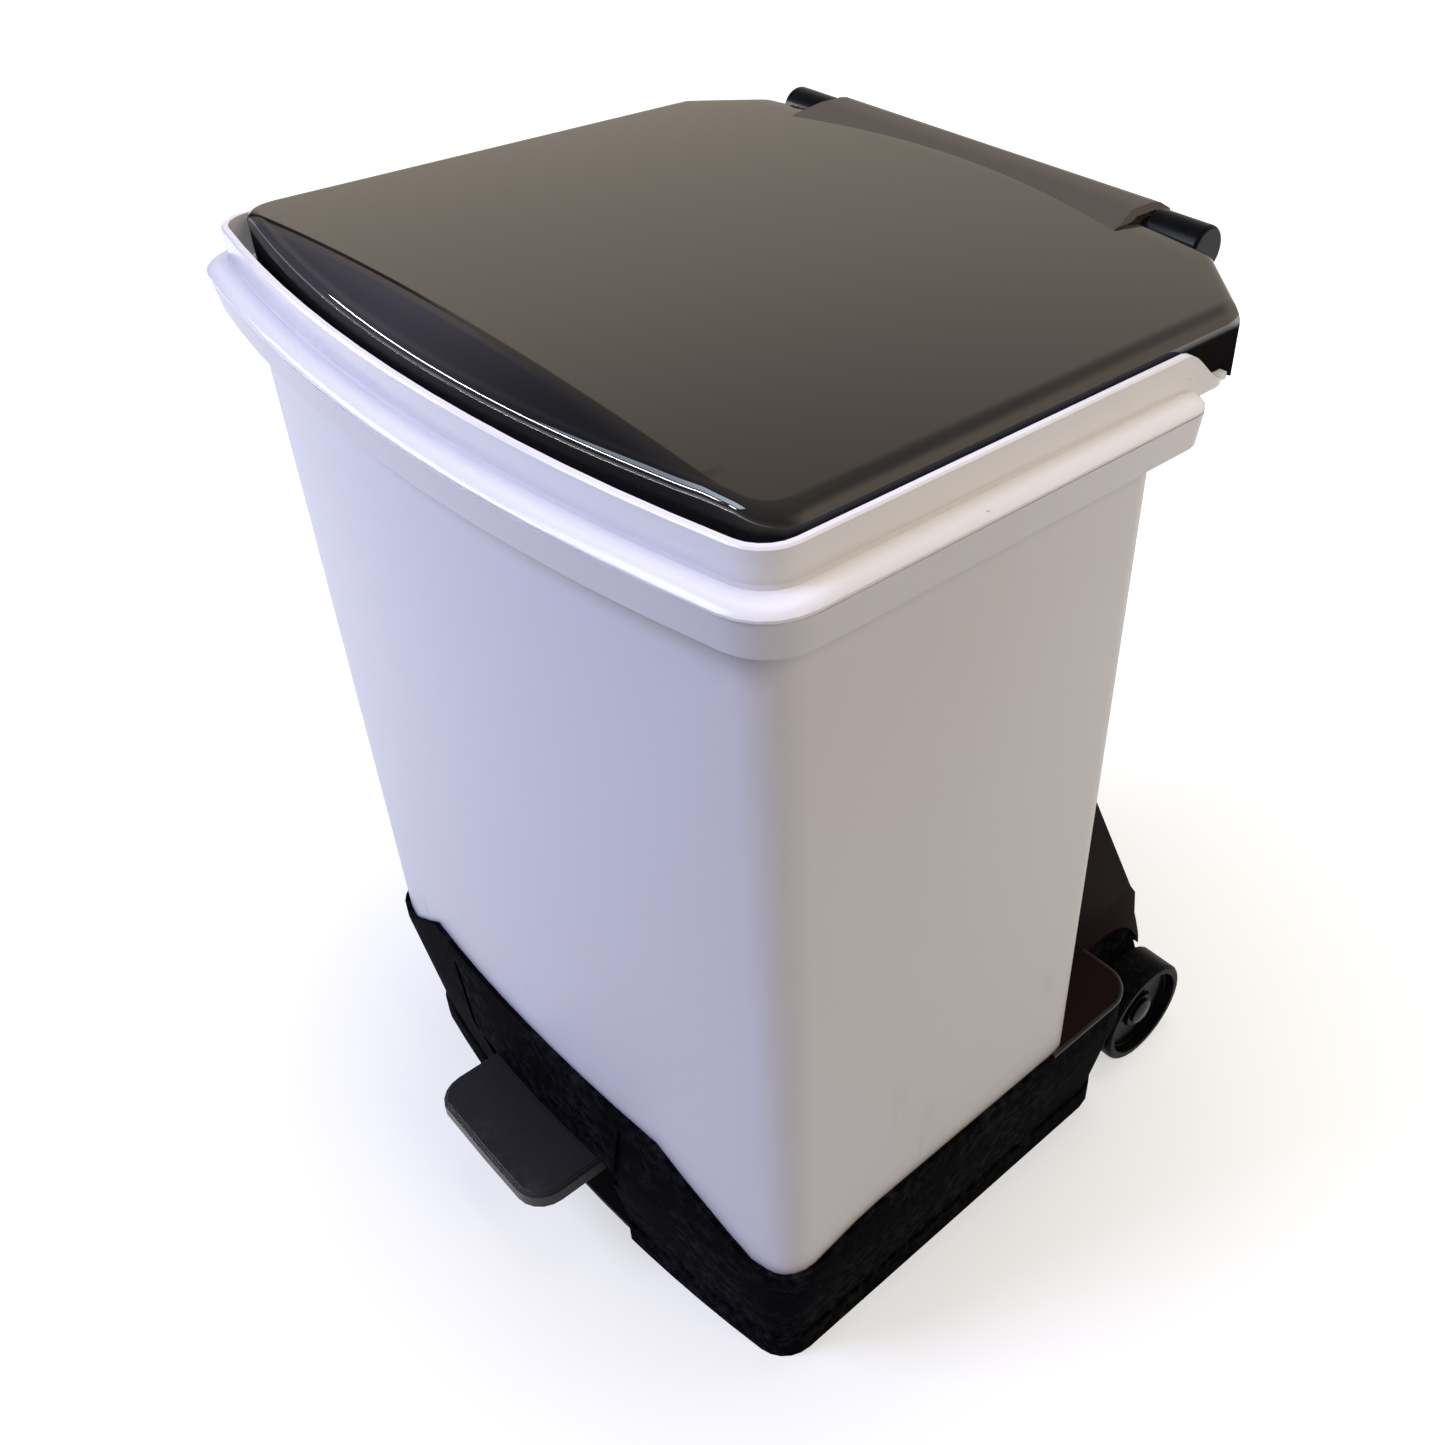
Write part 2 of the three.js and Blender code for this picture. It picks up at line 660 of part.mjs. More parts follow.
function makeLid() {
  const outside = lidBlock(0);
  const hoodTopZ = HINGE_Z + HOOD_TOP_RISE;
  const hoodEnds = plateY([
    [-HOOD_HALF_LENGTH, LID_FOOT_Z],
    [HOOD_HALF_LENGTH, LID_FOOT_Z],
    [HOOD_HALF_LENGTH, hoodTopZ - HOOD_END_CHAMFER],
    [HOOD_HALF_LENGTH - HOOD_END_CHAMFER, hoodTopZ + GAP],
    [-HOOD_HALF_LENGTH + HOOD_END_CHAMFER, hoodTopZ + GAP],
    [-HOOD_HALF_LENGTH, hoodTopZ - HOOD_END_CHAMFER],
  ], 0, HINGE_Y * 2);
  const hood = plateX(hoodProfile(0), -HOOD_HALF_LENGTH, HOOD_HALF_LENGTH).intersect(hoodEnds);
  const hoodFloor = box(
    [-HOOD_HALF_LENGTH - OVERRUN, LID_REAR_Y - HOOD_FACET_REACH * 2, LID_FOOT_Z - LID_TAIL_SKIRT - OVERRUN],
    [HOOD_HALF_LENGTH + OVERRUN, HINGE_Y - HOOD_TOP_DEPTH, LID_EDGE_Z - LID_WALL],
  );
  const hoodInside = plateX(hoodProfile(LID_WALL), -HOOD_HALF_LENGTH - OVERRUN, HOOD_HALF_LENGTH + OVERRUN);
  const inside = lidBlock(LID_WALL);
  const step = box(
    [-lidPlan.halfWidth - OVERRUN, lidPlan.frontY * 2, LID_FOOT_Z - LID_TAIL_SKIRT - OVERRUN],
    [lidPlan.halfWidth + OVERRUN, ringInner.rearY + RING_TAIL + LID_TAIL_CLEARANCE, LID_FOOT_Z],
  );
  const spineWay = box(
    [-HOOD_HALF_LENGTH + LID_WALL, LID_REAR_Y - LID_WALL * 2, LID_FOOT_Z - LID_TAIL_SKIRT - OVERRUN],
    [HOOD_HALF_LENGTH - LID_WALL, LID_REAR_Y + OVERRUN, HINGE_Z],
  );
  const shell = cut(join([outside, hood.subtract(hoodFloor)]), [inside, hoodInside, step, spineWay]);
  const webFrontY = HINGE_Y - BOSS_RADIUS * 1.6;
  const knuckles = [];
  for (const centre of [-HOOD_HALF_LENGTH + KNUCKLE_WIDTH, -HOOD_HALF_LENGTH / 3,
    HOOD_HALF_LENGTH / 3, HOOD_HALF_LENGTH - KNUCKLE_WIDTH]) {
    const x0 = centre - KNUCKLE_WIDTH / 2;
    const x1 = centre + KNUCKLE_WIDTH / 2;
    const web = plateX([
      [webFrontY, HINGE_Z], [HINGE_Y, HINGE_Z - BOSS_RADIUS / 2], [HINGE_Y + BOSS_RADIUS / 2, HINGE_Z],
      [HINGE_Y, HINGE_Z + HOOD_TOP_RISE - LID_WALL / 2], [webFrontY, HINGE_Z + HOOD_TOP_RISE - LID_WALL / 2],
    ], x0, x1);
    knuckles.push(bossX(x0, x1), web);
  }
  const bore = barX(SHAFT_RADIUS + BORE_GAP, -HOOD_HALF_LENGTH, HOOD_HALF_LENGTH, HINGE_Y, HINGE_Z);
  return cut(join([shell, ...knuckles]), [bore]);
}

// Lug under the lid that the push rod lifts
const CRANK_PIN_Y = HINGE_Y - CRANK_REACH;
const CRANK_PIN_Z = HINGE_Z - CRANK_DROP;

function makeCrank() {
  const topZ = LID_EDGE_Z + LID_CROWN - LID_WALL - GAP * 1.5;
  const web = plateX([
    [CRANK_PIN_Y - CRANK_PIN_RADIUS * 2, topZ],
    [CRANK_PIN_Y - CRANK_PIN_RADIUS, CRANK_PIN_Z],
    [CRANK_PIN_Y + CRANK_PIN_RADIUS, CRANK_PIN_Z],
    [CRANK_PIN_Y + CRANK_PIN_RADIUS, topZ],
  ], -CRANK_HALF_WIDTH, CRANK_HALF_WIDTH);
  const nose = barX(CRANK_PIN_RADIUS, -CRANK_HALF_WIDTH, CRANK_HALF_WIDTH, CRANK_PIN_Y, CRANK_PIN_Z);
  const foot = box(
    [-CRANK_HALF_WIDTH * 3, CRANK_PIN_Y - CRANK_PIN_RADIUS * 2, topZ - LID_WALL],
    [CRANK_HALF_WIDTH * 3, CRANK_PIN_Y + CRANK_PIN_RADIUS, topZ],
  );
  return join([web, nose, foot]);
}

// Hinge shaft, its two end caps and the two brackets that hold it
const CAP_INNER_X = HOOD_HALF_LENGTH + CAP_GAP;
const CAP_OUTER_X = CAP_INNER_X + CAP_LENGTH;

function makeCap(side) {
  const bore = SHAFT_RADIUS + BORE_GAP;
  const depth = CAP_LENGTH / 2;
  const profile = [
    [0, CAP_INNER_X + depth],
    [bore, CAP_INNER_X + depth],
    [bore, CAP_INNER_X],
    [CAP_RADIUS, CAP_INNER_X],
    [CAP_RADIUS, CAP_OUTER_X - CAP_CHAMFER],
    [CAP_RADIUS - CAP_CHAMFER, CAP_OUTER_X],
    [0, CAP_OUTER_X],
  ];
  const points = profile.map(([radius, along]) => new THREE.Vector2(radius, along));
  const geometry = new THREE.LatheGeometry(points, ROUND_STEPS);
  geometry.rotateZ(-Math.PI / 2 * side);
  geometry.translate(0, HINGE_Y, HINGE_Z);
  return toSolid(geometry);
}

function makeShaft() {
  const end = CAP_INNER_X + CAP_LENGTH / 2 - GAP;
  return barX(SHAFT_RADIUS, -end, end, HINGE_Y, HINGE_Z);
}

// Places in the spine
const SPINE_FRONT_Y = BUCKET_REAR_Y + SEAT_GAP;
const SPINE_REAR_Y = SPINE_FRONT_Y + SPINE_DEPTH;
const SPINE_FOOT_Z = DECK_TOP + GAP;
const BRACKET_FOOT_Z = SPINE_TOP - BRACKET_HEIGHT;
const BRACKET_FRONT_Y = SPINE_FRONT_Y + SPINE_WALL + GAP;
const BRACKET_SCREW_SHARES = [0.25, 0.75];

function bracketScrewPlaces() {
  return BRACKET_SCREW_SHARES.map((share) => BRACKET_FOOT_Z + BRACKET_HEIGHT * share);
}

function makeBracket(side) {
  const x0 = side > 0 ? BRACKET_INNER_X : -BRACKET_INNER_X - BRACKET_WIDTH;
  const x1 = x0 + BRACKET_WIDTH;
  const lower = -Math.PI * 0.69;
  const upper = Math.PI * 0.82;
  const armFoot = [HINGE_Y + BOSS_RADIUS * Math.cos(lower), HINGE_Z + BOSS_RADIUS * Math.sin(lower)];
  const armHead = [HINGE_Y + BOSS_RADIUS * Math.cos(upper), HINGE_Z + BOSS_RADIUS * Math.sin(upper)];
  const arm = plateX([
    [BRACKET_FRONT_Y, BRACKET_FOOT_Z],
    [BRACKET_FRONT_Y + BRACKET_BLOCK_DEPTH, BRACKET_FOOT_Z],
    [BRACKET_FRONT_Y + BRACKET_BLOCK_DEPTH * BRACKET_LEAN, SPINE_TOP - BRACKET_WIDTH],
    armFoot,
    [HINGE_Y, HINGE_Z],
    armHead,
    [BRACKET_FRONT_Y + BRACKET_BLOCK_DEPTH * 0.75, SPINE_TOP],
    [BRACKET_FRONT_Y, SPINE_TOP - BRACKET_WIDTH],
  ], x0, x1);
  const bore = barX(SHAFT_RADIUS + BORE_GAP, x0 - OVERRUN, x1 + OVERRUN, HINGE_Y, HINGE_Z);
  const holes = bracketScrewPlaces().map((z) => barY(
    SCREW_RADIUS + BORE_GAP, (x0 + x1) / 2, z,
    BRACKET_FRONT_Y - OVERRUN, BRACKET_FRONT_Y + BRACKET_BLOCK_DEPTH * 2, SMALL_ROUND_STEPS,
  ));
  return cut(join([arm, bossX(x0, x1)]), [bore, ...holes]);
}

// A pan-head screw along Y, its head toward +Y
function screwY(x, z, tipY, headY) {
  return join([
    barY(SCREW_RADIUS, x, z, tipY, headY + SCREW_HEAD / 2, SMALL_ROUND_STEPS),
    barY(SCREW_HEAD_RADIUS, x, z, headY, headY + SCREW_HEAD, SMALL_ROUND_STEPS),
  ]);
}

// A pan-head screw along Z, its head down
function screwZ(x, y, headZ, tipZ) {
  return join([
    barZ(SCREW_RADIUS, x, y, headZ + SCREW_HEAD / 2, tipZ, SMALL_ROUND_STEPS),
    barZ(SCREW_HEAD_RADIUS, x, y, headZ, headZ + SCREW_HEAD, SMALL_ROUND_STEPS),
  ]);
}

// Depth of the bracket block behind a screw, where the screw's head rests
function bracketBack(z) {
  const share = (z - BRACKET_FOOT_Z) / (BRACKET_HEIGHT - BRACKET_WIDTH);
  return BRACKET_FRONT_Y + BRACKET_BLOCK_DEPTH * (1 + (BRACKET_LEAN - 1) * share);
}

const BRACKET_CENTRE_X = BRACKET_INNER_X + BRACKET_WIDTH / 2;

function makeBracketScrews() {
  return [-BRACKET_CENTRE_X, BRACKET_CENTRE_X].flatMap((x) => bracketScrewPlaces().map((z) => screwY(
    x, z, SPINE_FRONT_Y + GAP, bracketBack(z + SCREW_HEAD_RADIUS) + GAP,
  )));
}

function makeSpine() {
  const tube = box(
    [-SPINE_HALF_WIDTH, SPINE_FRONT_Y, SPINE_FOOT_Z],
    [SPINE_HALF_WIDTH, SPINE_REAR_Y, SPINE_TOP],
  );
  const inside = box(
    [-SPINE_HALF_WIDTH + SPINE_WALL, SPINE_FRONT_Y + SPINE_WALL, SPINE_FOOT_Z - OVERRUN],
    [SPINE_HALF_WIDTH - SPINE_WALL, SPINE_REAR_Y - SPINE_WALL, SPINE_TOP + OVERRUN],
  );
  const holes = [-BRACKET_CENTRE_X, BRACKET_CENTRE_X].flatMap((x) => bracketScrewPlaces().map((z) => barY(
    SCREW_RADIUS + BORE_GAP, x, z, SPINE_FRONT_Y - OVERRUN, BRACKET_FRONT_Y, SMALL_ROUND_STEPS,
  )));
  return cut(tube, [inside, ...holes]);
}

const WHEEL_INNER_X = TAIL_HALF_WIDTH + WHEEL_SIDE_GAP;

// Side edge where the base's tail ends and the housing begins: level, then falling in a curve to the rear
const TAIL_EDGE_FALL = 34;
const TAIL_EDGE_RUN = 37;
const TAIL_EDGE_END_Y = TAIL_REAR_Y - BASE_WALL * 2;

function tailEdge(rise, setback) {
  const full = Math.PI / 3;
  return steps(0, full, 6).map((angle) => [
    TAIL_EDGE_END_Y - setback - TAIL_EDGE_RUN * (1 - Math.sin(angle) / Math.sin(full)),
    TAIL_WALL_TOP - TAIL_EDGE_FALL * (1 - Math.cos(angle)) / (1 - Math.cos(full)) + rise,
  ]);
}

// Rear face of the tail and the housing, from the floor to the knee
const TAIL_SHOULDER_Y = TAIL_REAR_Y - BASE_WALL / 1.2;
const TAIL_SHOULDER_Z = TAIL_WALL_TOP - TAIL_EDGE_FALL - BASE_WALL * 3;

function tailProfile(distance) {
  const low = distance > 0 ? -OVERRUN : 0;
  return [
    [BUCKET_REAR_Y - BASE_REAR_RADIUS + distance, low],
    [TAIL_REAR_Y - distance, low],
    [TAIL_SHOULDER_Y - distance, TAIL_SHOULDER_Z],
    ...tailEdge(distance > 0 ? -distance / 3 : 0, distance).reverse(),
    [BUCKET_REAR_Y - BASE_REAR_RADIUS + distance, TAIL_WALL_TOP - (distance > 0 ? distance / 3 : 0)],
  ];
}

// Housing behind the bucket, in Y and Z
function housingProfile(distance) {
  const frontY = BUCKET_REAR_Y + SEAT_GAP - (distance > 0 ? OVERRUN : 0);
  const slope = (HOUSING_TOP_Z - HOUSING_KNEE_Z) / (HOUSING_KNEE_Y - BUCKET_REAR_Y - SEAT_GAP);
  const drop = distance * Math.sqrt(1 + slope * slope);
  const lip = distance > 0 ? -OVERRUN : GAP;
  return [
    [frontY, TAIL_WALL_TOP + lip],
    ...tailEdge(lip, distance),
    [HOUSING_KNEE_Y + BASE_WALL * 2 - distance, HOUSING_KNEE_Z - BASE_WALL * 3],
    [HOUSING_KNEE_Y - distance / 2, HOUSING_KNEE_Z - distance / 2],
    [frontY, HOUSING_TOP_Z - drop + (distance > 0 ? OVERRUN * slope : 0)],
  ];
}

// Flared lip along the housing's edge over one wheel, in sections across it
function makeArchLip(side) {
  const inner = side * (TAIL_HALF_WIDTH - HOUSING_WALL / 2);
  const outer = side * (TAIL_HALF_WIDTH + ARCH_LIP_FLARE);
  const low = [[BASE_REAR_Y + GAP, TAIL_WALL_TOP + GAP], ...tailEdge(GAP, 0)];
  const sections = low.map(([y, z], i) => {
    const [beforeY, beforeZ] = low[Math.max(i - 1, 0)];
    const [afterY, afterZ] = low[Math.min(i + 1, low.length - 1)];
    const length = Math.hypot(afterY - beforeY, afterZ - beforeZ);
    const upY = -(afterZ - beforeZ) / length;
    const upZ = (afterY - beforeY) / length;
    const rim = [y + upY * ARCH_LIP_EDGE, z + upZ * ARCH_LIP_EDGE];
    const top = [y + upY * ARCH_LIP_HEIGHT, z + upZ * ARCH_LIP_HEIGHT];
    const section = [[inner, y, z], [outer, y, z], [outer, ...rim], [inner, ...top]];
    return side > 0 ? section.reverse() : section;
  });
  const within = plateX(housingProfile(0), -WHEEL_INNER_X, WHEEL_INNER_X);
  return loft(sections, ([x, , z]) => [z, x]).intersect(within);
}

function makeHousing() {
  const shell = plateX(housingProfile(0), -TAIL_HALF_WIDTH, TAIL_HALF_WIDTH);
  const inside = plateX(housingProfile(HOUSING_WALL), -TAIL_HALF_WIDTH + HOUSING_WALL, TAIL_HALF_WIDTH - HOUSING_WALL);
  const slot = box(
    [-SPINE_HALF_WIDTH - GAP, SPINE_FRONT_Y - OVERRUN, TAIL_WALL_TOP],
    [SPINE_HALF_WIDTH + GAP, SPINE_REAR_Y + GAP, HOUSING_TOP_Z + OVERRUN],
  );
  return join([cut(shell, [inside, slot]), makeArchLip(-1), makeArchLip(1)]);
}

// Plans of the base
const basePocket = inset(bucketFoot, -SEAT_GAP);
const baseRim = {
  ...inset(bucketFoot, -SEAT_GAP - BASE_RIM_WALL),
  rearY: BASE_REAR_Y,
  rearRadius: BASE_REAR_RADIUS,
};
const baseFoot = {
  halfWidth: BASE_FOOT_HALF_WIDTH,
  frontY: BASE_FOOT_FRONT_Y,
  bow: BASE_FOOT_BOW,
  frontRadius: BASE_FOOT_RADIUS,
  rearY: BASE_REAR_Y,
  rearRadius: BASE_REAR_RADIUS,
};

// Height of the base's upper edge: a crest in the middle of the front, a dip at the front corners
function baseEdge(x, y) {
  const side = Math.abs(x);
  const corner = BASE_RIM_Z - BASE_CORNER_DIP;
  if (y < BUCKET_FRONT_Y) {
    const sag = BASE_CREST_SAG * Math.min(side / BASE_CREST_HALF_WIDTH, 1) ** 2;
    const fall = Math.max(side - BASE_CREST_HALF_WIDTH, 0) / BASE_CREST_FALL_RUN;
    return Math.max(BASE_CREST_Z - sag - (BASE_CREST_Z - BASE_CREST_SAG - corner) * fall, corner);
  }
  return corner + BASE_CORNER_DIP * ease((y - BUCKET_FRONT_Y) / BASE_CREST_FALL_RUN);
}

// Everything under the base's upper edge
function makeBaseUnder() {
  const crestFoot = BASE_CREST_HALF_WIDTH + BASE_CREST_FALL_RUN;
  const reach = Math.max(baseRim.halfWidth, crestFoot) + OVERRUN;
  const half = [
    ...steps(0, BASE_CREST_HALF_WIDTH, 4),
    ...steps(BASE_CREST_HALF_WIDTH, crestFoot, 2).slice(1),
    reach,
  ];
  const xs = [...half.slice(1).reverse().map((x) => -x), ...half];
  const ys = [
    baseRim.frontY - baseRim.bow - OVERRUN,
    BUCKET_FRONT_Y - GAP,
    ...steps(BUCKET_FRONT_Y, BUCKET_FRONT_Y + BASE_CREST_FALL_RUN, 4),
    TAIL_REAR_Y + OVERRUN,
  ];
  return heightBlock(ys.map((y) => xs.map((x) => [x, y])), -OVERRUN, baseEdge);
}

// T-shaped opening in the front wall that the pedal moves in
function makePedalSlot() {
  const low = [
    [-PEDAL_SLOT_HALF_WIDTH, -OVERRUN],
    [PEDAL_SLOT_HALF_WIDTH, -OVERRUN],
    [PEDAL_SLOT_HALF_WIDTH, PEDAL_SLOT_SHOULDER],
    [PEDAL_SLOT_TOP_HALF_WIDTH, PEDAL_SLOT_SHOULDER + GAP * 10],
    [PEDAL_SLOT_TOP_HALF_WIDTH, PEDAL_SLOT_TOP - GAP * 10],
    [PEDAL_SLOT_TOP_HALF_WIDTH - GAP * 10, PEDAL_SLOT_TOP],
  ];
  const points = [...low, ...low.slice(2).reverse().map(([x, z]) => [-x, z])];
  return plateY(points, baseRim.frontY - baseRim.bow - OVERRUN, BASE_FOOT_FRONT_Y / 2);
}

// Groove that leans outward from one end of the pedal's opening up to the crest
function makeGroove(side) {
  const inner = side * (PEDAL_SLOT_TOP_HALF_WIDTH - GROOVE_WIDTH + GAP * 5);
  const outer = inner + side * GROOVE_WIDTH;
  const lean = side * GROOVE_LEAN;
  const points = [
    [inner, PEDAL_SLOT_SHOULDER], [outer, PEDAL_SLOT_SHOULDER], [outer + lean, GROOVE_TOP], [inner + lean, GROOVE_TOP],
  ];
  const bar = plateY(points, baseRim.frontY - baseRim.bow - OVERRUN, baseRim.frontY + BASE_REAR_RADIUS);
  const kept = inset(baseRim, GROOVE_DEPTH);
  return bar.subtract(stack([{ plan: kept, z: 0 }, { plan: kept, z: BASE_CREST_Z + OVERRUN }]));
}

// Round inner corner between the base's rear wall and its tail, in front of one wheel
function makeNotchFillet(side) {
  const x = TAIL_HALF_WIDTH;
  const y = BASE_REAR_Y;
  const points = [
    [x - BASE_WALL, y - BASE_WALL],
    [x + NOTCH_RADIUS, y - BASE_WALL],
    ...arc(x + NOTCH_RADIUS, y + NOTCH_RADIUS, NOTCH_RADIUS, -Math.PI / 2, -Math.PI, 5),
    [x - BASE_WALL, y + NOTCH_RADIUS],
  ];
  return plateZ(points.map(([px, py]) => [px * side, py]), 0, TAIL_WALL_TOP);
}

// Bosses under the deck that take the underplate's screws
const UNDERPLATE_SCREW_SHARES = [[-0.84, -0.7], [0.84, -0.7], [-0.84, 0.6], [0.84, 0.6]];

function underplateScrewPlaces() {
  return UNDERPLATE_SCREW_SHARES.map(([x, y]) => [x * BASE_FOOT_HALF_WIDTH, y * -BASE_FOOT_FRONT_Y]);
}

const UNDERPLATE_TOP = UNDERPLATE_THICKNESS;
const SCREW_LENGTH = 14;

function makeBase() {
  const shareOfRim = (z) => (z - FOOT_LIP_HEIGHT) / (DECK_TOP - FOOT_LIP_HEIGHT);
  const lip = inset(baseFoot, FOOT_LIP_STEP);
  const planAt = (z) => between(lip, baseRim, shareOfRim(z));
  const tub = stack([
    { plan: baseFoot, z: 0 },
    { plan: baseFoot, z: FOOT_LIP_HEIGHT - FOOT_LIP_STEP / 2 },
    { plan: lip, z: FOOT_LIP_HEIGHT },
    { plan: planAt(DECK_TOP), z: DECK_TOP },
    { plan: baseRim, z: BASE_CREST_Z + OVERRUN },
  ]);
  const tail = plateX(tailProfile(0), -TAIL_HALF_WIDTH, TAIL_HALF_WIDTH);
  const outer = join([tub.intersect(makeBaseUnder()), tail, makeNotchFillet(-1), makeNotchFillet(1)]);
  const hollow = stack([
    { plan: inset(baseFoot, BASE_WALL), z: -OVERRUN },
    { plan: inset(baseFoot, BASE_WALL), z: FOOT_LIP_HEIGHT - FOOT_LIP_STEP },
    { plan: inset(lip, BASE_WALL), z: FOOT_LIP_HEIGHT },
    { plan: inset(planAt(DECK_Z), BASE_WALL), z: DECK_Z },
  ]);
  const tailHollow = box(
    [-TAIL_HALF_WIDTH + BASE_WALL, 0, -OVERRUN],
    [TAIL_HALF_WIDTH - BASE_WALL, TAIL_REAR_Y - BASE_WALL * 2, DECK_Z],
  );
  const bucketSeat = stack([
    { plan: basePocket, z: DECK_TOP },
    { plan: { ...basePocket, halfWidth: bucketPlan(BASE_CREST_Z).halfWidth + SEAT_GAP }, z: BASE_CREST_Z + OVERRUN * 2 },
  ]);
  const tailSeat = box(
    [-TAIL_HALF_WIDTH + BASE_WALL, BUCKET_REAR_Y - BUCKET_REAR_RADIUS, DECK_TOP],
    [TAIL_HALF_WIDTH - BASE_WALL, TAIL_REAR_Y - BASE_WALL * 2, TAIL_WALL_TOP + OVERRUN * 4],
  );
  const housingSeat = box(
    [-TAIL_HALF_WIDTH - GAP, SPINE_FRONT_Y - GAP, TAIL_WALL_TOP],
    [TAIL_HALF_WIDTH + GAP, TAIL_REAR_Y + OVERRUN, BASE_CREST_Z],
  );
  const rodHole = barZ(ROD_RADIUS * 2, 0, HINGE_Y - ROD_SETBACK, DECK_Z - OVERRUN, DECK_TOP + OVERRUN);
  const axleHole = barX(AXLE_RADIUS + BORE_GAP, -TAIL_HALF_WIDTH - OVERRUN, TAIL_HALF_WIDTH + OVERRUN, AXLE_Y, AXLE_Z);
  const shell = cut(outer, [hollow, tailHollow, bucketSeat, tailSeat, housingSeat, rodHole, axleHole, makePedalSlot(), makeGroove(-1), makeGroove(1)]);
  const bosses = underplateScrewPlaces().map(([x, y]) => barZ(
    SCREW_HEAD_RADIUS * 1.6, x, y, UNDERPLATE_TOP + GAP, DECK_Z + DECK_THICKNESS / 2, SMALL_ROUND_STEPS,
  ));
  const pilots = underplateScrewPlaces().map(([x, y]) => barZ(
    SCREW_RADIUS + BORE_GAP, x, y, -OVERRUN, UNDERPLATE_TOP + SCREW_LENGTH + OVERRUN, SMALL_ROUND_STEPS,
  ));
  return cut(join([shell, ...bosses]), pilots);
}

function makeUnderplate() {
  const plate = join([
    stack([
      { plan: inset(baseFoot, BASE_WALL + SEAT_GAP), z: 0 },
      { plan: inset(baseFoot, BASE_WALL + SEAT_GAP), z: UNDERPLATE_TOP },
    ]),
    box(
      [-TAIL_HALF_WIDTH + BASE_WALL + SEAT_GAP, 0, 0],
      [TAIL_HALF_WIDTH - BASE_WALL - SEAT_GAP, TAIL_REAR_Y - BASE_WALL * 2 - SEAT_GAP, UNDERPLATE_TOP],
    ),
  ]);
  const seats = underplateScrewPlaces().flatMap(([x, y]) => [
    barZ(SCREW_HEAD_RADIUS + BORE_GAP, x, y, -OVERRUN, SCREW_HEAD / 2 + GAP, SMALL_ROUND_STEPS),
    barZ(SCREW_RADIUS + BORE_GAP, x, y, -OVERRUN, UNDERPLATE_TOP + OVERRUN, SMALL_ROUND_STEPS),
  ]);
  return cut(plate, seats);
}

// Screws whose thin heads lie in the underplate, just above the floor
function makeUnderplateScrews() {
  const head = SCREW_HEAD / 2;
  return underplateScrewPlaces().map(([x, y]) => join([
    barZ(SCREW_HEAD_RADIUS, x, y, GAP, head, SMALL_ROUND_STEPS),
    barZ(SCREW_RADIUS, x, y, head / 2, UNDERPLATE_TOP + SCREW_LENGTH, SMALL_ROUND_STEPS),
  ]));
}

// Pedal plate: round-cornered, hollow below, running back through the opening in the base
const PEDAL_REAR_Y = PEDAL_FRONT_Y + PEDAL_DEPTH;

function pedalOutline(distance) {
  const radius = PEDAL_CORNER - distance;
  const x = PEDAL_HALF_WIDTH - distance - radius;
  const frontY = PEDAL_FRONT_Y + distance + radius;
  return mirrored([
    [0, PEDAL_FRONT_Y + distance],
    ...arc(x, frontY, radius, -Math.PI / 2, 0, 5),
    [PEDAL_HALF_WIDTH - distance, PEDAL_REAR_Y - distance],
    [0, PEDAL_REAR_Y - distance],
  ]).slice(0, -1);
}

// Places of the two pedal screws along the lever
const PEDAL_SCREW_SHARES = [0.3, 0.7];

function pedalScrewPlaces() {
  return PEDAL_SCREW_SHARES.map((share) => PEDAL_FRONT_Y + PEDAL_DEPTH * share);
}

// Heights under the pedal's skin
const LEVER_TOP_Z = PEDAL_TOP_Z - PEDAL_SKIN - GAP;
const PEDAL_SCREW_TIP_Z = PEDAL_TOP_Z - PEDAL_SKIN / 3;

function makePedal() {
  const lowZ = PEDAL_TOP_Z - PEDAL_RIM;
  const edge = PEDAL_SKIN / 2;
  const body = join([
    plateZ(pedalOutline(0), lowZ, PEDAL_TOP_Z - edge),
    plateZ(pedalOutline(edge / 2), lowZ, PEDAL_TOP_Z - edge / 3),
    plateZ(pedalOutline(edge), lowZ, PEDAL_TOP_Z),
  ]);
  const inside = plateZ(pedalOutline(PEDAL_WALL), lowZ - OVERRUN, PEDAL_TOP_Z - PEDAL_SKIN);
  const wayOut = box(
    [-LEVER_HALF_WIDTH - GAP * 2, PEDAL_REAR_Y - PEDAL_WALL * 2, lowZ - OVERRUN],
    [LEVER_HALF_WIDTH + GAP * 2, PEDAL_REAR_Y + OVERRUN, PEDAL_TOP_Z - PEDAL_SKIN],
  );
  const holes = pedalScrewPlaces().map((y) => barZ(
    SCREW_RADIUS + BORE_GAP, 0, y, lowZ, PEDAL_SCREW_TIP_Z + GAP, SMALL_ROUND_STEPS,
  ));
  return cut(body, [inside, wayOut, ...holes]);
}

// Lever from the pedal over the pivot to the push rod
const ROD_Y = HINGE_Y - ROD_SETBACK;
const LEVER_END_Z = PIVOT_Z - LEVER_END_DROP;
const LEVER_END_Y = ROD_Y + ROD_PAD_RADIUS;

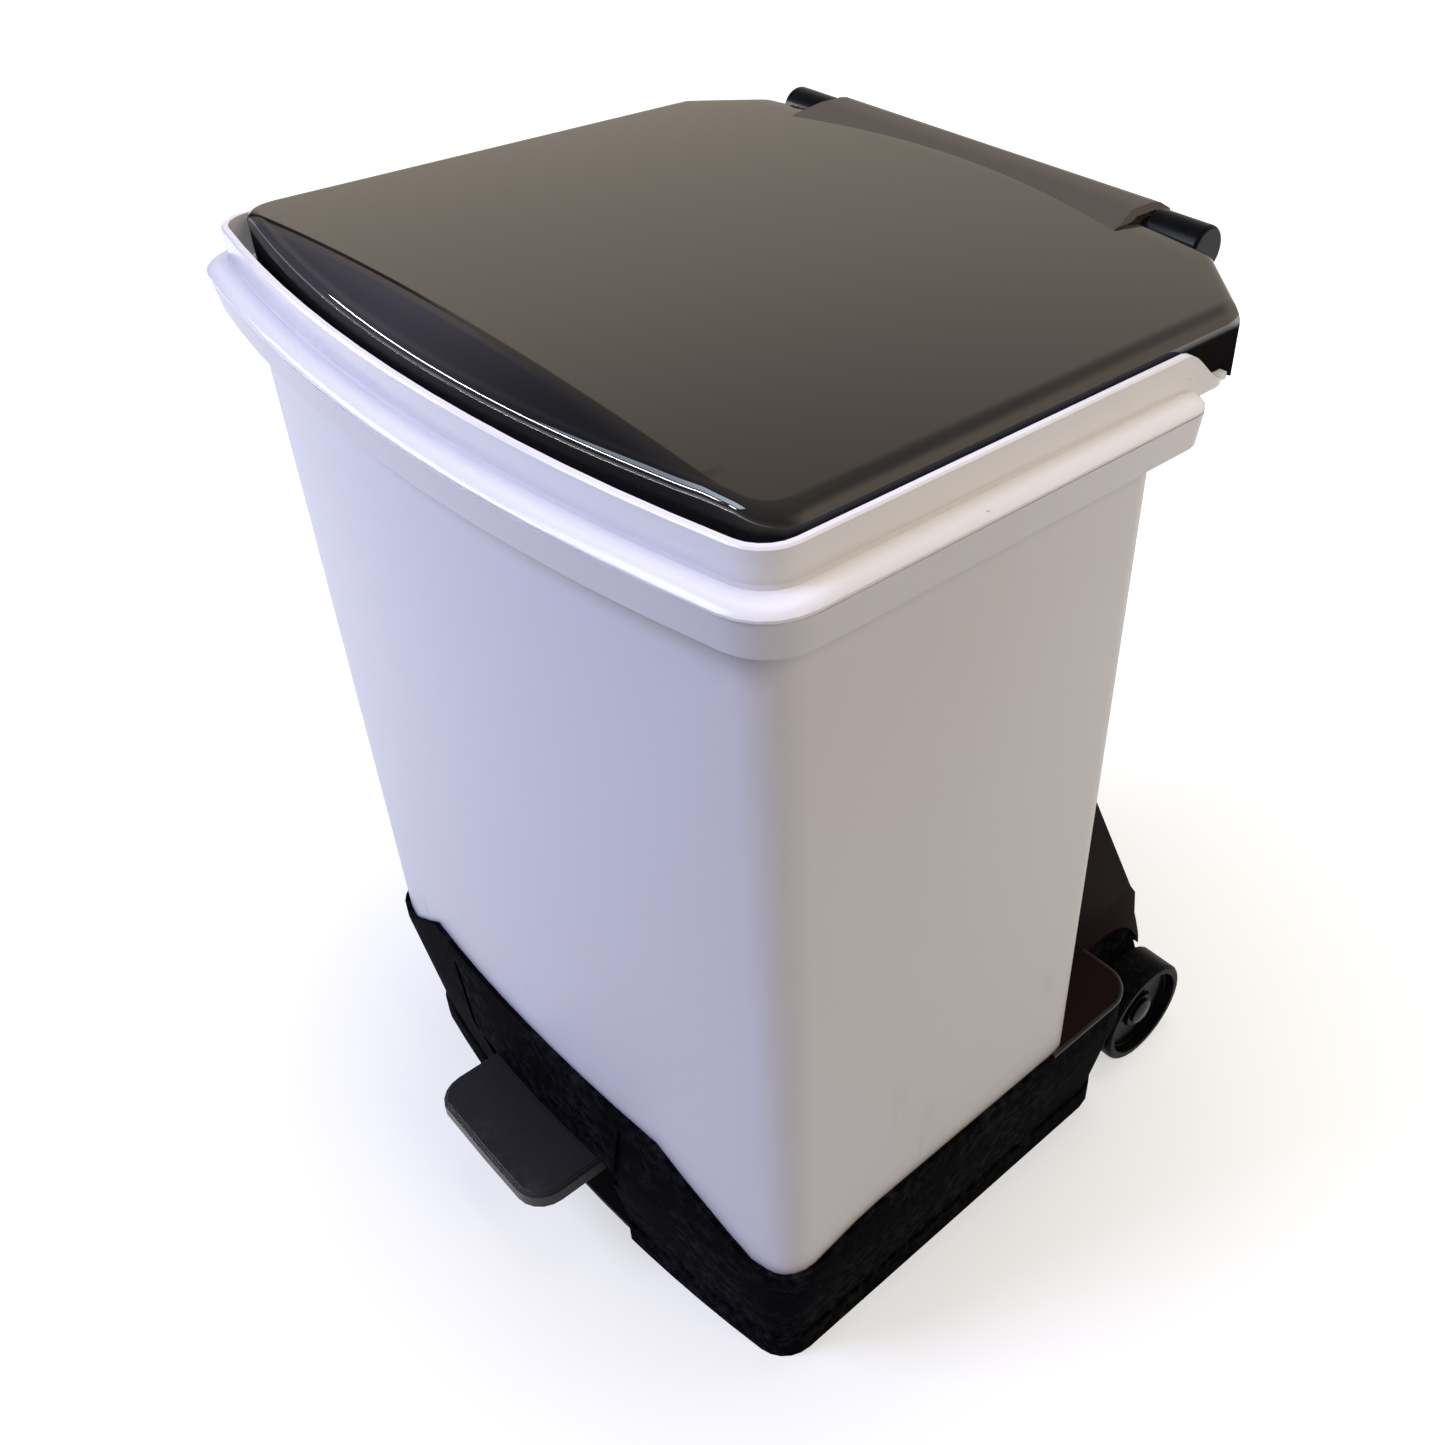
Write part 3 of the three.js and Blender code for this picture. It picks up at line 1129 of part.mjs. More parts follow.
function makeLever() {
  const half = LEVER_THICKNESS / 2;
  const frontZ = LEVER_TOP_Z - half;
  const line = [
    [PEDAL_FRONT_Y + PEDAL_WALL * 2, frontZ],
    [PEDAL_REAR_Y, frontZ],
    [PIVOT_Y, PIVOT_Z],
    [ROD_Y - ROD_PAD_RADIUS * 2, LEVER_END_Z],
    [LEVER_END_Y, LEVER_END_Z],
  ];
  const top = line.map(([y, z]) => [y, z + half]);
  const bottom = line.map(([y, z]) => [y, z - half]).reverse();
  const bar = plateX([...bottom.reverse(), ...top.reverse()], -LEVER_HALF_WIDTH, LEVER_HALF_WIDTH);
  const boss = barX(PIVOT_RADIUS * 2.1, -LEVER_HALF_WIDTH, LEVER_HALF_WIDTH, PIVOT_Y, PIVOT_Z);
  const bore = barX(PIVOT_RADIUS + BORE_GAP, -LEVER_HALF_WIDTH * 2, LEVER_HALF_WIDTH * 2, PIVOT_Y, PIVOT_Z);
  const holes = pedalScrewPlaces().map((y) => barZ(
    SCREW_RADIUS + BORE_GAP, 0, y, LEVER_TOP_Z - LEVER_THICKNESS - OVERRUN, LEVER_TOP_Z + OVERRUN,
    SMALL_ROUND_STEPS,
  ));
  return cut(join([bar, boss]), [bore, ...holes]);
}

function makePedalScrews() {
  const headZ = LEVER_TOP_Z - LEVER_THICKNESS - GAP - SCREW_HEAD;
  return pedalScrewPlaces().map((y) => screwZ(0, y, headZ, PEDAL_SCREW_TIP_Z));
}

// Bearing blocks that hang the pivot shaft under the deck
const BLOCK_WIDTH = 14;
const BLOCK_HALF_DEPTH = 15;
const BLOCK_INNER_X = LEVER_HALF_WIDTH + GAP * 3;
const BLOCK_FOOT_Z = PIVOT_Z - PIVOT_RADIUS * 2.5;
const BLOCK_TOP_Z = DECK_Z - GAP;

function blockScrewPlaces() {
  const offset = BLOCK_HALF_DEPTH * 0.65;
  return [PIVOT_Y - offset, PIVOT_Y + offset];
}

function makeBlock(side) {
  const x0 = side > 0 ? BLOCK_INNER_X : -BLOCK_INNER_X - BLOCK_WIDTH;
  const x1 = x0 + BLOCK_WIDTH;
  const block = box([x0, PIVOT_Y - BLOCK_HALF_DEPTH, BLOCK_FOOT_Z], [x1, PIVOT_Y + BLOCK_HALF_DEPTH, BLOCK_TOP_Z]);
  const bore = barX(PIVOT_RADIUS + BORE_GAP, x0 - OVERRUN, x1 + OVERRUN, PIVOT_Y, PIVOT_Z);
  const holes = blockScrewPlaces().map((y) => barZ(
    SCREW_RADIUS + BORE_GAP, (x0 + x1) / 2, y, BLOCK_FOOT_Z - OVERRUN, BLOCK_TOP_Z + OVERRUN,
    SMALL_ROUND_STEPS,
  ));
  return cut(block, [bore, ...holes]);
}

function makeBlockScrews() {
  const centre = BLOCK_INNER_X + BLOCK_WIDTH / 2;
  const headZ = BLOCK_FOOT_Z - GAP - SCREW_HEAD;
  return [-centre, centre].flatMap((x) => blockScrewPlaces().map((y) => screwZ(x, y, headZ, BLOCK_TOP_Z - GAP)));
}

function makePivotShaft() {
  const end = BLOCK_INNER_X + BLOCK_WIDTH + PIVOT_RADIUS;
  return barX(PIVOT_RADIUS, -end, end, PIVOT_Y, PIVOT_Z);
}

// Rubber stop under the deck that the lever reaches when the lid is wide open
const STOP_HALF_WIDTH = 10;
const STOP_HEIGHT = 15.5;
const STOP_HALF_DEPTH = 7;
const STOP_Y = ROD_Y - ROD_PAD_RADIUS * 3;

function makeStop() {
  return box(
    [-STOP_HALF_WIDTH, STOP_Y - STOP_HALF_DEPTH, BLOCK_TOP_Z - STOP_HEIGHT],
    [STOP_HALF_WIDTH, STOP_Y + STOP_HALF_DEPTH, BLOCK_TOP_Z],
  );
}

// Push rod with its top pad, and the two guides in the spine
const PAD_TOP_Z = CRANK_PIN_Z - CRANK_PIN_RADIUS - CRANK_LIFT_GAP;
const ROD_FOOT_Z = LEVER_END_Z + LEVER_THICKNESS / 2 + GAP * 2;
const ROD_TOP_Z = PAD_TOP_Z - ROD_PAD_HEIGHT / 3;
const GUIDE_THICKNESS = 6;
const GUIDE_HALF_WIDTH = 22;
const GUIDE_HEIGHT_SHARES = { lower: 0.12, upper: 0.88 };

// The rod's foot is narrowed, so that it stays near the middle of the lever as that tips
function makeRod() {
  const tipLength = ROD_RADIUS * 1.2;
  const tip = new THREE.CylinderGeometry(ROD_RADIUS, ROD_RADIUS / 3, tipLength, ROUND_STEPS);
  tip.rotateX(Math.PI / 2);
  tip.translate(0, ROD_Y, ROD_FOOT_Z + tipLength / 2);
  return join([barZ(ROD_RADIUS, 0, ROD_Y, ROD_FOOT_Z + tipLength, ROD_TOP_Z - GAP), toSolid(tip)]);
}

function makePad() {
  const pad = barZ(ROD_PAD_RADIUS, 0, ROD_Y, PAD_TOP_Z - ROD_PAD_HEIGHT, PAD_TOP_Z);
  return pad.subtract(barZ(ROD_RADIUS + BORE_GAP, 0, ROD_Y, PAD_TOP_Z - ROD_PAD_HEIGHT * 2, ROD_TOP_Z));
}

function makeGuide(name) {
  const z = SPINE_FOOT_Z + (SPINE_TOP - SPINE_FOOT_Z) * GUIDE_HEIGHT_SHARES[name];
  const plate = box(
    [-GUIDE_HALF_WIDTH, SPINE_FRONT_Y + SPINE_WALL + GAP, z - GUIDE_THICKNESS / 2],
    [GUIDE_HALF_WIDTH, SPINE_REAR_Y - SPINE_WALL - GAP, z + GUIDE_THICKNESS / 2],
  );
  return plate.subtract(barZ(ROD_RADIUS + BORE_GAP, 0, ROD_Y, z - GUIDE_THICKNESS, z + GUIDE_THICKNESS));
}

// Wheels on their axle, outside the tail
const WHEEL_OUTER_X = WHEEL_INNER_X + WHEEL_WIDTH;
const HUB_OUTER_X = WHEEL_OUTER_X - WHEEL_DISH * 0.7;
const AXLE_CAP_RADIUS = 8.5;
const AXLE_CAP_THICKNESS = 3;

function makeWheel(side) {
  const bore = AXLE_RADIUS + BORE_GAP;
  const inner = WHEEL_RADIUS - WHEEL_RIM_WIDTH;
  const profile = [
    [bore, WHEEL_INNER_X],
    [HUB_RADIUS, WHEEL_INNER_X],
    [HUB_RADIUS, WHEEL_INNER_X + WHEEL_DISH],
    [inner, WHEEL_INNER_X + WHEEL_DISH],
    [inner, WHEEL_INNER_X],
    [WHEEL_RADIUS - WHEEL_EDGE, WHEEL_INNER_X],
    [WHEEL_RADIUS, WHEEL_INNER_X + WHEEL_EDGE],
    [WHEEL_RADIUS, WHEEL_OUTER_X - WHEEL_EDGE],
    [WHEEL_RADIUS - WHEEL_EDGE, WHEEL_OUTER_X],
    [inner, WHEEL_OUTER_X],
    [inner - WHEEL_EDGE, WHEEL_OUTER_X - WHEEL_DISH],
    [HUB_RADIUS, WHEEL_OUTER_X - WHEEL_DISH * 1.2],
    [HUB_RADIUS, HUB_OUTER_X],
    [bore, HUB_OUTER_X],
  ];
  const wheel = turnedX(profile, AXLE_Y, AXLE_Z);
  return side > 0 ? wheel : wheel.mirror([1, 0, 0]);
}

function makeAxleCap(side) {
  const start = HUB_OUTER_X + GAP;
  const profile = [
    [0, start + AXLE_CAP_THICKNESS / 2],
    [AXLE_RADIUS + BORE_GAP, start + AXLE_CAP_THICKNESS / 2],
    [AXLE_RADIUS + BORE_GAP, start],
    [AXLE_CAP_RADIUS, start],
    [AXLE_CAP_RADIUS, start + AXLE_CAP_THICKNESS / 2],
    [AXLE_CAP_RADIUS / 2, start + AXLE_CAP_THICKNESS],
    [0, start + AXLE_CAP_THICKNESS],
  ];
  const geometry = new THREE.LatheGeometry(profile.map(([r, along]) => new THREE.Vector2(r, along)), ROUND_STEPS);
  geometry.rotateZ(-Math.PI / 2 * side);
  geometry.translate(0, AXLE_Y, AXLE_Z);
  return toSolid(geometry);
}

function makeAxle() {
  const end = HUB_OUTER_X + GAP + AXLE_CAP_THICKNESS / 2 - GAP;
  return barX(AXLE_RADIUS, -end, end, AXLE_Y, AXLE_Z);
}

// Steel pieces that share a name, told apart by a number
function numbered(name, solids) {
  return solids.map((solid, i) => [`${name}_${i + 1}`, solid, 'steel']);
}

// All pieces, each with its name and finish
const pieces = [
  ['bin_body', makeBucket(), 'bucket'],
  ['bag_ring', makeRing(), 'ring'],
  ['lid', makeLid(), 'lid'],
  ['lid_crank', makeCrank(), 'steel'],
  ['hinge_shaft', makeShaft(), 'steel'],
  ['hinge_cap_left', makeCap(-1), 'gloss'],
  ['hinge_cap_right', makeCap(1), 'gloss'],
  ['hinge_bracket_left', makeBracket(-1), 'black'],
  ['hinge_bracket_right', makeBracket(1), 'black'],
  ...numbered('bracket_screw', makeBracketScrews()),
  ['rear_spine', makeSpine(), 'black'],
  ['rear_housing', makeHousing(), 'black'],
  ['base', makeBase(), 'black'],
  ['underplate', makeUnderplate(), 'black'],
  ...numbered('underplate_screw', makeUnderplateScrews()),
  ['pedal', makePedal(), 'pedal'],
  ['pedal_lever', makeLever(), 'steel'],
  ...numbered('pedal_screw', makePedalScrews()),
  ['pedal_shaft', makePivotShaft(), 'steel'],
  ['pedal_bearing_left', makeBlock(-1), 'black'],
  ['pedal_bearing_right', makeBlock(1), 'black'],
  ...numbered('bearing_screw', makeBlockScrews()),
  ['lever_stop', makeStop(), 'rubber'],
  ['push_rod', makeRod(), 'steel'],
  ['push_pad', makePad(), 'black'],
  ['rod_guide_lower', makeGuide('lower'), 'black'],
  ['rod_guide_upper', makeGuide('upper'), 'black'],
  ['wheel_axle', makeAxle(), 'steel'],
  ['wheel_left', makeWheel(-1), 'gloss'],
  ['wheel_right', makeWheel(1), 'gloss'],
  ['axle_cap_left', makeAxleCap(-1), 'gloss'],
  ['axle_cap_right', makeAxleCap(1), 'gloss'],
];
for (const [name, solid, finish] of pieces) {
  addPiece(name, toGeometry(solid), finish);
}

export default bin;
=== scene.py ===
"""Dressed model of a wheeled pedal bin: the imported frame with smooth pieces, finishes, stage and camera."""

import json
import math

import bmesh
import bpy
from bpy.props import FloatProperty, FloatVectorProperty, IntProperty, PointerProperty
from bpy.types import Operator, Panel, PropertyGroup
from mathutils import Matrix, Vector


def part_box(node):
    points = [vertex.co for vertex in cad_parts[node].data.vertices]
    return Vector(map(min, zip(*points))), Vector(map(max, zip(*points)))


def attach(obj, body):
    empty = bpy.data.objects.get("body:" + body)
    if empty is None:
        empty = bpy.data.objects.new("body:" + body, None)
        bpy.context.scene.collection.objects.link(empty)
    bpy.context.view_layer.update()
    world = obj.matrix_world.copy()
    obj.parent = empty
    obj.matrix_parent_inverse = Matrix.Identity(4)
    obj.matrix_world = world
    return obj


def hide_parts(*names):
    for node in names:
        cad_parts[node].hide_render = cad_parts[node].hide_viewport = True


bl_info = {
    "name": "Pedal Bin",
    "version": (1, 0, 0),
    "blender": (4, 5, 0),
    "location": "View3D > Sidebar > Pedal Bin",
    "description": "Builds the pieces and finishes of a wheeled pedal bin on its frame",
    "category": "Add Mesh",
}

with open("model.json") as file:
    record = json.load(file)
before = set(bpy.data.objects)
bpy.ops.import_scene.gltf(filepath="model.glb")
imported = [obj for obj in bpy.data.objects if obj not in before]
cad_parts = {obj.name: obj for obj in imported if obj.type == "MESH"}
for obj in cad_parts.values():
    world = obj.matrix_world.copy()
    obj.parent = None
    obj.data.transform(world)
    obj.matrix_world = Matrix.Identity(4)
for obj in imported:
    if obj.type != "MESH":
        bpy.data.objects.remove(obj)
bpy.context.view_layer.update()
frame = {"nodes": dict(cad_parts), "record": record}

# Tolerances and steps of the mesh work, in metres and radians
WELD = 2e-6
TOUCH = 1e-6
FLAT_TURN = math.radians(0.3)
BEVEL_TURN = math.radians(40)
QUARTER_TURN = math.pi / 2
BEAD_STEPS = 10


# Sizes and colours that a user would change


def length(name, text, value):
    return FloatProperty(name=name, description=text, default=value, unit="LENGTH", precision=5)


def colour(name, text, value):
    return FloatVectorProperty(
        name=name, description=text, default=value, size=3, subtype="COLOR", min=0.0, max=1.0
    )


def angle(name, text, degrees):
    return FloatProperty(name=name, description=text, default=math.radians(degrees), subtype="ANGLE")


def number(name, text, value):
    return FloatProperty(name=name, description=text, default=value)


def steps(name, text, value, least):
    return IntProperty(name=name, description=text, default=value, min=least)


class BinFinishes(PropertyGroup):
    bucket_white: colour("Bucket white", "Colour of the bucket's satin plastic", (0.70, 0.70, 0.74))
    ring_white: colour("Ring white", "Colour of the bag ring's glossy plastic", (0.80, 0.80, 0.83))
    lid_dark: colour("Lid dark", "Colour of the lid's very glossy plastic", (0.021, 0.018, 0.0145))
    # Painted reflection: the lens is the lid's own plastic, and this dim bluish grey stands in for the darker
    # surroundings it mirrors. Darker copies of it are painted shade at the crease, on the lens's right part
    # and on the skirt.
    lens_painted_sheen: colour("Lens black", "Colour of the lid's front lens", (0.040, 0.039, 0.044))
    # Painted reflection: the thin olive band below the crease is what the lid mirrors there, not a colour of
    # its own
    painted_olive_reflection: colour("Lens olive", "Colour of the thin band below the crease", (0.060, 0.053, 0.043))
    hood_dark: colour("Hood dark", "Colour of the hood's satin plastic", (0.066, 0.058, 0.046))
    base_black: colour("Base black", "Colour of the base's matt plastic", (0.0022, 0.0022, 0.0032))
    dust_grey: colour("Dust grey", "Colour of the dust in the base's grain", (0.0190, 0.0195, 0.0230))
    pedal_black: colour("Pedal black", "Colour of the pedal's plastic", (0.017, 0.016, 0.018))
    pedal_worn: colour("Pedal worn", "Colour of the pedal's rubbed edge", (0.044, 0.043, 0.048))
    housing_black: colour("Housing black", "Colour of the rear housing", (0.0120, 0.0072, 0.0076))
    # Painted highlight: the bead is coloured lighter than the base to give the light line along the rim's
    # edge
    rim_highlight_grey: colour("Rim grey", "Colour of the base rim's bead", (0.040, 0.034, 0.033))
    cap_black: colour("Cap black", "Colour of the hinge caps and the wheels", (0.0040, 0.0040, 0.0046))
    steel_grey: colour("Steel grey", "Colour of the plated steel", (0.55, 0.56, 0.58))
    rubber_black: colour("Rubber black", "Colour of the rubber stop", (0.012, 0.012, 0.012))


class BinSizes(PropertyGroup):
    edge_round: length("Edge round", "Radius of the moulded edges", 0.0008)
    smooth_angle: angle("Smooth angle", "Faces that meet at less than this are shaded as one surface", 32)
    edge_segments: steps("Edge segments", "Steps round a moulded edge", 2, 1)
    hood_half_length: length("Hood half length", "Half of the hood's length", 0.1011)
    hood_front: length("Hood front", "Where the hood rises out of the lid's top", 0.1125)
    rim_half_width: length("Rim half width", "Half of the base rim's width", 0.1788)
    rim_rear_y: length("Rim rear", "Where the base rim's rear edge is", 0.1190)
    rim_corner: length("Rim corner", "Radius of the rim's two rear corners", 0.0200)
    rim_z: length("Rim height", "Height of the ledge behind the bucket", 0.1030)
    rim_start: length("Bead start", "Where the rim's bead starts beside the bucket", 0.0480)
    rim_end: length("Bead end", "Distance from the middle at which the rim's bead ends", 0.1400)
    rim_bead: length("Bead", "Radius of the rim's bead", 0.0013)


class LidSizes(PropertyGroup):
    half_width: length("Half width", "Half of the lid's width", 0.1750)
    crease_y: length("Crease place", "Where the flat top ends and the front lens begins", -0.1308)
    bow: length("Front bow", "How far the front edge bows out", 0.0208)
    corner: length("Front corner", "Radius of the two front corners", 0.012)
    rear_y: length("Rear edge", "Where the lid's rear edge is", 0.1366)
    cut_length: length("Rear cut length", "Length of the cut rear corners", 0.0326)
    cut_width: length("Rear cut width", "Width of the cut rear corners", 0.0388)
    edge_z: length("Edge height", "Height of the top at its side edges", 0.5047)
    crown: length("Crown", "Rise of the top from its sides to its middle", 0.009)
    lens_drop: length("Lens drop", "Fall of the lens below the side edges", 0.003)
    lip: length("Lip", "Radius of the rolled lip in front", 0.0044)
    side_lip: length("Side lip", "Radius of the rolled edge at the sides", 0.0080)
    foot_z: length("Skirt foot", "Height of the skirt's lower edge", 0.4822)
    tail_y: length("Tail start", "Where the skirt's deeper tail starts", 0.1015)
    tail_drop: length("Tail drop", "How much deeper the tail's skirt is", 0.006)
    wall: length("Wall", "Thickness of the lid's wall", 0.0024)
    lift: length("Lift", "How far the smooth skin lies above the frame's surface", 0.0002)
    ledge_width: length("Ledge width", "Width of the small step in front of the crease", 0.0012)
    ledge_depth: length("Ledge depth", "Depth of the small step in front of the crease", 0.0005)
    lens_margin: length("Lens margin", "How far the lens's slope runs on past the front bow", 0.002)
    crease_gap: length("Crease gap", "Least distance from the front edge to the crease", 0.0008)
    crease_spread: length("Crease spread", "How much that distance grows to the middle", 0.0012)
    way_half_width: length("Hinge way", "Half of the width of the rear opening for the hinge", 0.0985)
    way_depth: length("Hinge way depth", "How far in front of the rear edge that opening begins", 0.004)
    columns: steps("Columns", "Steps across the lid", 120, 8)
    lens_rows: steps("Lens rows", "Steps from the crease to the lip", 14, 3)
    top_rows: steps("Top rows", "Steps from the crease to the rear", 30, 3)
    lip_steps: steps("Lip steps", "Steps round the rolled lip", 6, 2)


class StageSizes(PropertyGroup):
    lens: number("Lens", "Focal length of the camera in millimetres", 36.376)
    azimuth: angle("Azimuth", "Turn of the camera round the bin", 44.5967)
    elevation: angle("Elevation", "How steeply the camera looks down", 38.8805)
    roll: angle("Roll", "Camera's roll about its own line of sight", 1.6796)
    camera_place: FloatVectorProperty(
        name="Camera place",
        description="Where the camera stands",
        default=(0.462146, -0.368772, 0.731286),
        size=3,
        subtype="XYZ",
        unit="LENGTH",
    )
    shift_x: number("Shift X", "Sideways shift of the camera", -0.1188)
    shift_y: number("Shift Y", "Upward shift of the camera", -0.0020)


# Shader maths and nodes


class Field:
    """A number that varies from place to place, so that shader maths reads as an expression."""

    def __init__(self, paint, socket):
        self.paint = paint
        self.socket = socket

    def _math(self, operation, first, second=0.0):
        made = self.paint.node("ShaderNodeMath", {"operation": operation}, {0: first, 1: second})
        return Field(self.paint, made.outputs[0])

    def __add__(self, other):
        return self._math("ADD", self, other)

    __radd__ = __add__

    def __sub__(self, other):
        return self._math("SUBTRACT", self, other)

    def __rsub__(self, other):
        return self._math("SUBTRACT", other, self)

    def __mul__(self, other):
        return self._math("MULTIPLY", self, other)

    def __pow__(self, other):
        return self._math("POWER", self, other)

    def most(self, other):
        return self._math("MAXIMUM", self, other)


class Nodes:
    """A node tree of a material or a world, written as expressions."""

    def __init__(self, owner):
        owner.use_nodes = True
        self.tree = owner.node_tree
        self.tree.nodes.clear()
        self.place = self.node("ShaderNodeTexCoord").outputs["Object"]

    def connect(self, socket, value):
        """Links a field or another socket to a socket, or sets the socket's own value."""
        if isinstance(value, Field):
            value = value.socket
        if isinstance(value, bpy.types.NodeSocket):
            self.tree.links.new(value, socket)
        else:
            socket.default_value = value

    def node(self, kind, settings=None, values=None):
        made = self.tree.nodes.new(kind)
        for name, value in (settings or {}).items():
            setattr(made, name, value)
        for name, value in (values or {}).items():
            self.connect(made.inputs[name], value)
        return made

    def noise(self, scale, detail, rough=0.5, stretch=None):
        """Cloudy noise. A stretch below one along an axis draws the noise out along it."""
        place = self.place
        if stretch:
            place = self.node("ShaderNodeMapping", values={"Vector": place, "Scale": stretch}).outputs[0]
        values = {"Vector": place, "Scale": scale, "Detail": detail, "Roughness": rough}
        return Field(self, self.node("ShaderNodeTexNoise", values=values).outputs["Fac"])

    def grains(self, scale):
        made = self.node("ShaderNodeTexVoronoi", values={"Vector": self.place, "Scale": scale})
        return Field(self, made.outputs["Distance"])

    def step(self, field, low, high):
        """Runs smoothly from zero at low to one at high, also where high is the smaller."""
        values = {"Value": field, "From Min": low, "From Max": high}
        made = self.node("ShaderNodeMapRange", {"interpolation_type": "SMOOTHSTEP"}, values)
        return Field(self, made.outputs[0])

    def axis(self, letter):
        """One coordinate, in metres on a piece and as part of a direction in the world."""
        made = self.node("ShaderNodeSeparateXYZ", values={0: self.place})
        return Field(self, made.outputs[letter])

    def blend(self, factor, first, second):
        """Mixes two colours: 6 and 7 are the mix node's colour inputs, and 2 is its colour output."""
        values = {"Factor": factor, 6: rgba(first), 7: rgba(second)}
        return self.node("ShaderNodeMix", {"data_type": "RGBA"}, values).outputs[2]

    def seen(self):
        """One for the camera, for reflections and for what is seen through a piece, else zero."""
        path = self.node("ShaderNodeLightPath").outputs
        camera, glossy, through = (
            Field(self, path[name]) for name in ("Is Camera Ray", "Is Glossy Ray", "Is Transmission Ray")
        )
        return camera.most(glossy).most(through)


class Paint(Nodes):
    """One node material, built from its shader outwards."""

    def __init__(self, name):
        self.material = bpy.data.materials.new(name)
        super().__init__(self.material)
        self.shader = self.node("ShaderNodeBsdfPrincipled")
        self.node("ShaderNodeOutputMaterial", values={"Surface": self.shader.outputs[0]})

    def bump(self, height, strength, distance):
        values = {"Height": height, "Strength": strength, "Distance": distance}
        self.set(Normal=self.node("ShaderNodeBump", values=values).outputs[0])

    def set(self, **values):
        """Sets or links the shader's inputs by their names, with _ for a space."""
        for name, value in values.items():
            self.connect(self.shader.inputs[name.replace("_", " ")], value)


def rgba(value):
    """A colour with its alpha. What comes from a node stays as it is."""
    if isinstance(value, (bpy.types.NodeSocket, Field)):
        return value
    return (*value, 1.0)


def shaded(value, amount):
    """The same hue, lighter or darker by a factor."""
    return tuple(min(channel * amount, 1.0) for channel in value)


# Finishes


def finishes():
    return bpy.context.scene.bin_finishes


def bucket_paint():
    paint = Paint("bucket_satin_plastic")
    white = finishes().bucket_white
    cloud = paint.noise(9.0, detail=3.0)
    scuff = paint.step(paint.noise(38.0, detail=4.0, rough=0.7, stretch=(1.0, 1.0, 0.25)), 0.60, 0.72)
    unscuffed_z, scuffed_z = 0.26, 0.09
    low = paint.step(paint.axis("Z"), unscuffed_z, scuffed_z)
    tone = paint.blend(cloud, shaded(white, 0.975), shaded(white, 1.025))
    paint.set(Base_Color=paint.blend(scuff * low * 0.25, tone, shaded(white, 0.72)))
    paint.set(Roughness=cloud * 0.08 + 0.30 + scuff * low * 0.2, IOR=1.49)
    grain = paint.noise(1900.0, detail=1.0) * 0.6 + paint.noise(420.0, detail=2.0) * 0.4
    paint.bump(grain, strength=0.10, distance=0.0002)
    return paint.material


def ring_paint():
    paint = Paint("ring_gloss_plastic")
    white = finishes().ring_white
    cloud = paint.noise(14.0, detail=2.0)
    speck = paint.step(paint.noise(310.0, detail=1.0), 0.80, 0.84)
    tone = paint.blend(cloud, shaded(white, 0.98), shaded(white, 1.02))
    paint.set(Base_Color=paint.blend(speck * 0.6, tone, shaded(white, 0.3)))
    paint.set(Roughness=cloud * 0.06 + 0.14, IOR=1.5, Coat_Weight=0.3, Coat_Roughness=0.08)
    paint.bump(paint.noise(60.0, detail=2.0), strength=0.04, distance=0.0004)
    return paint.material


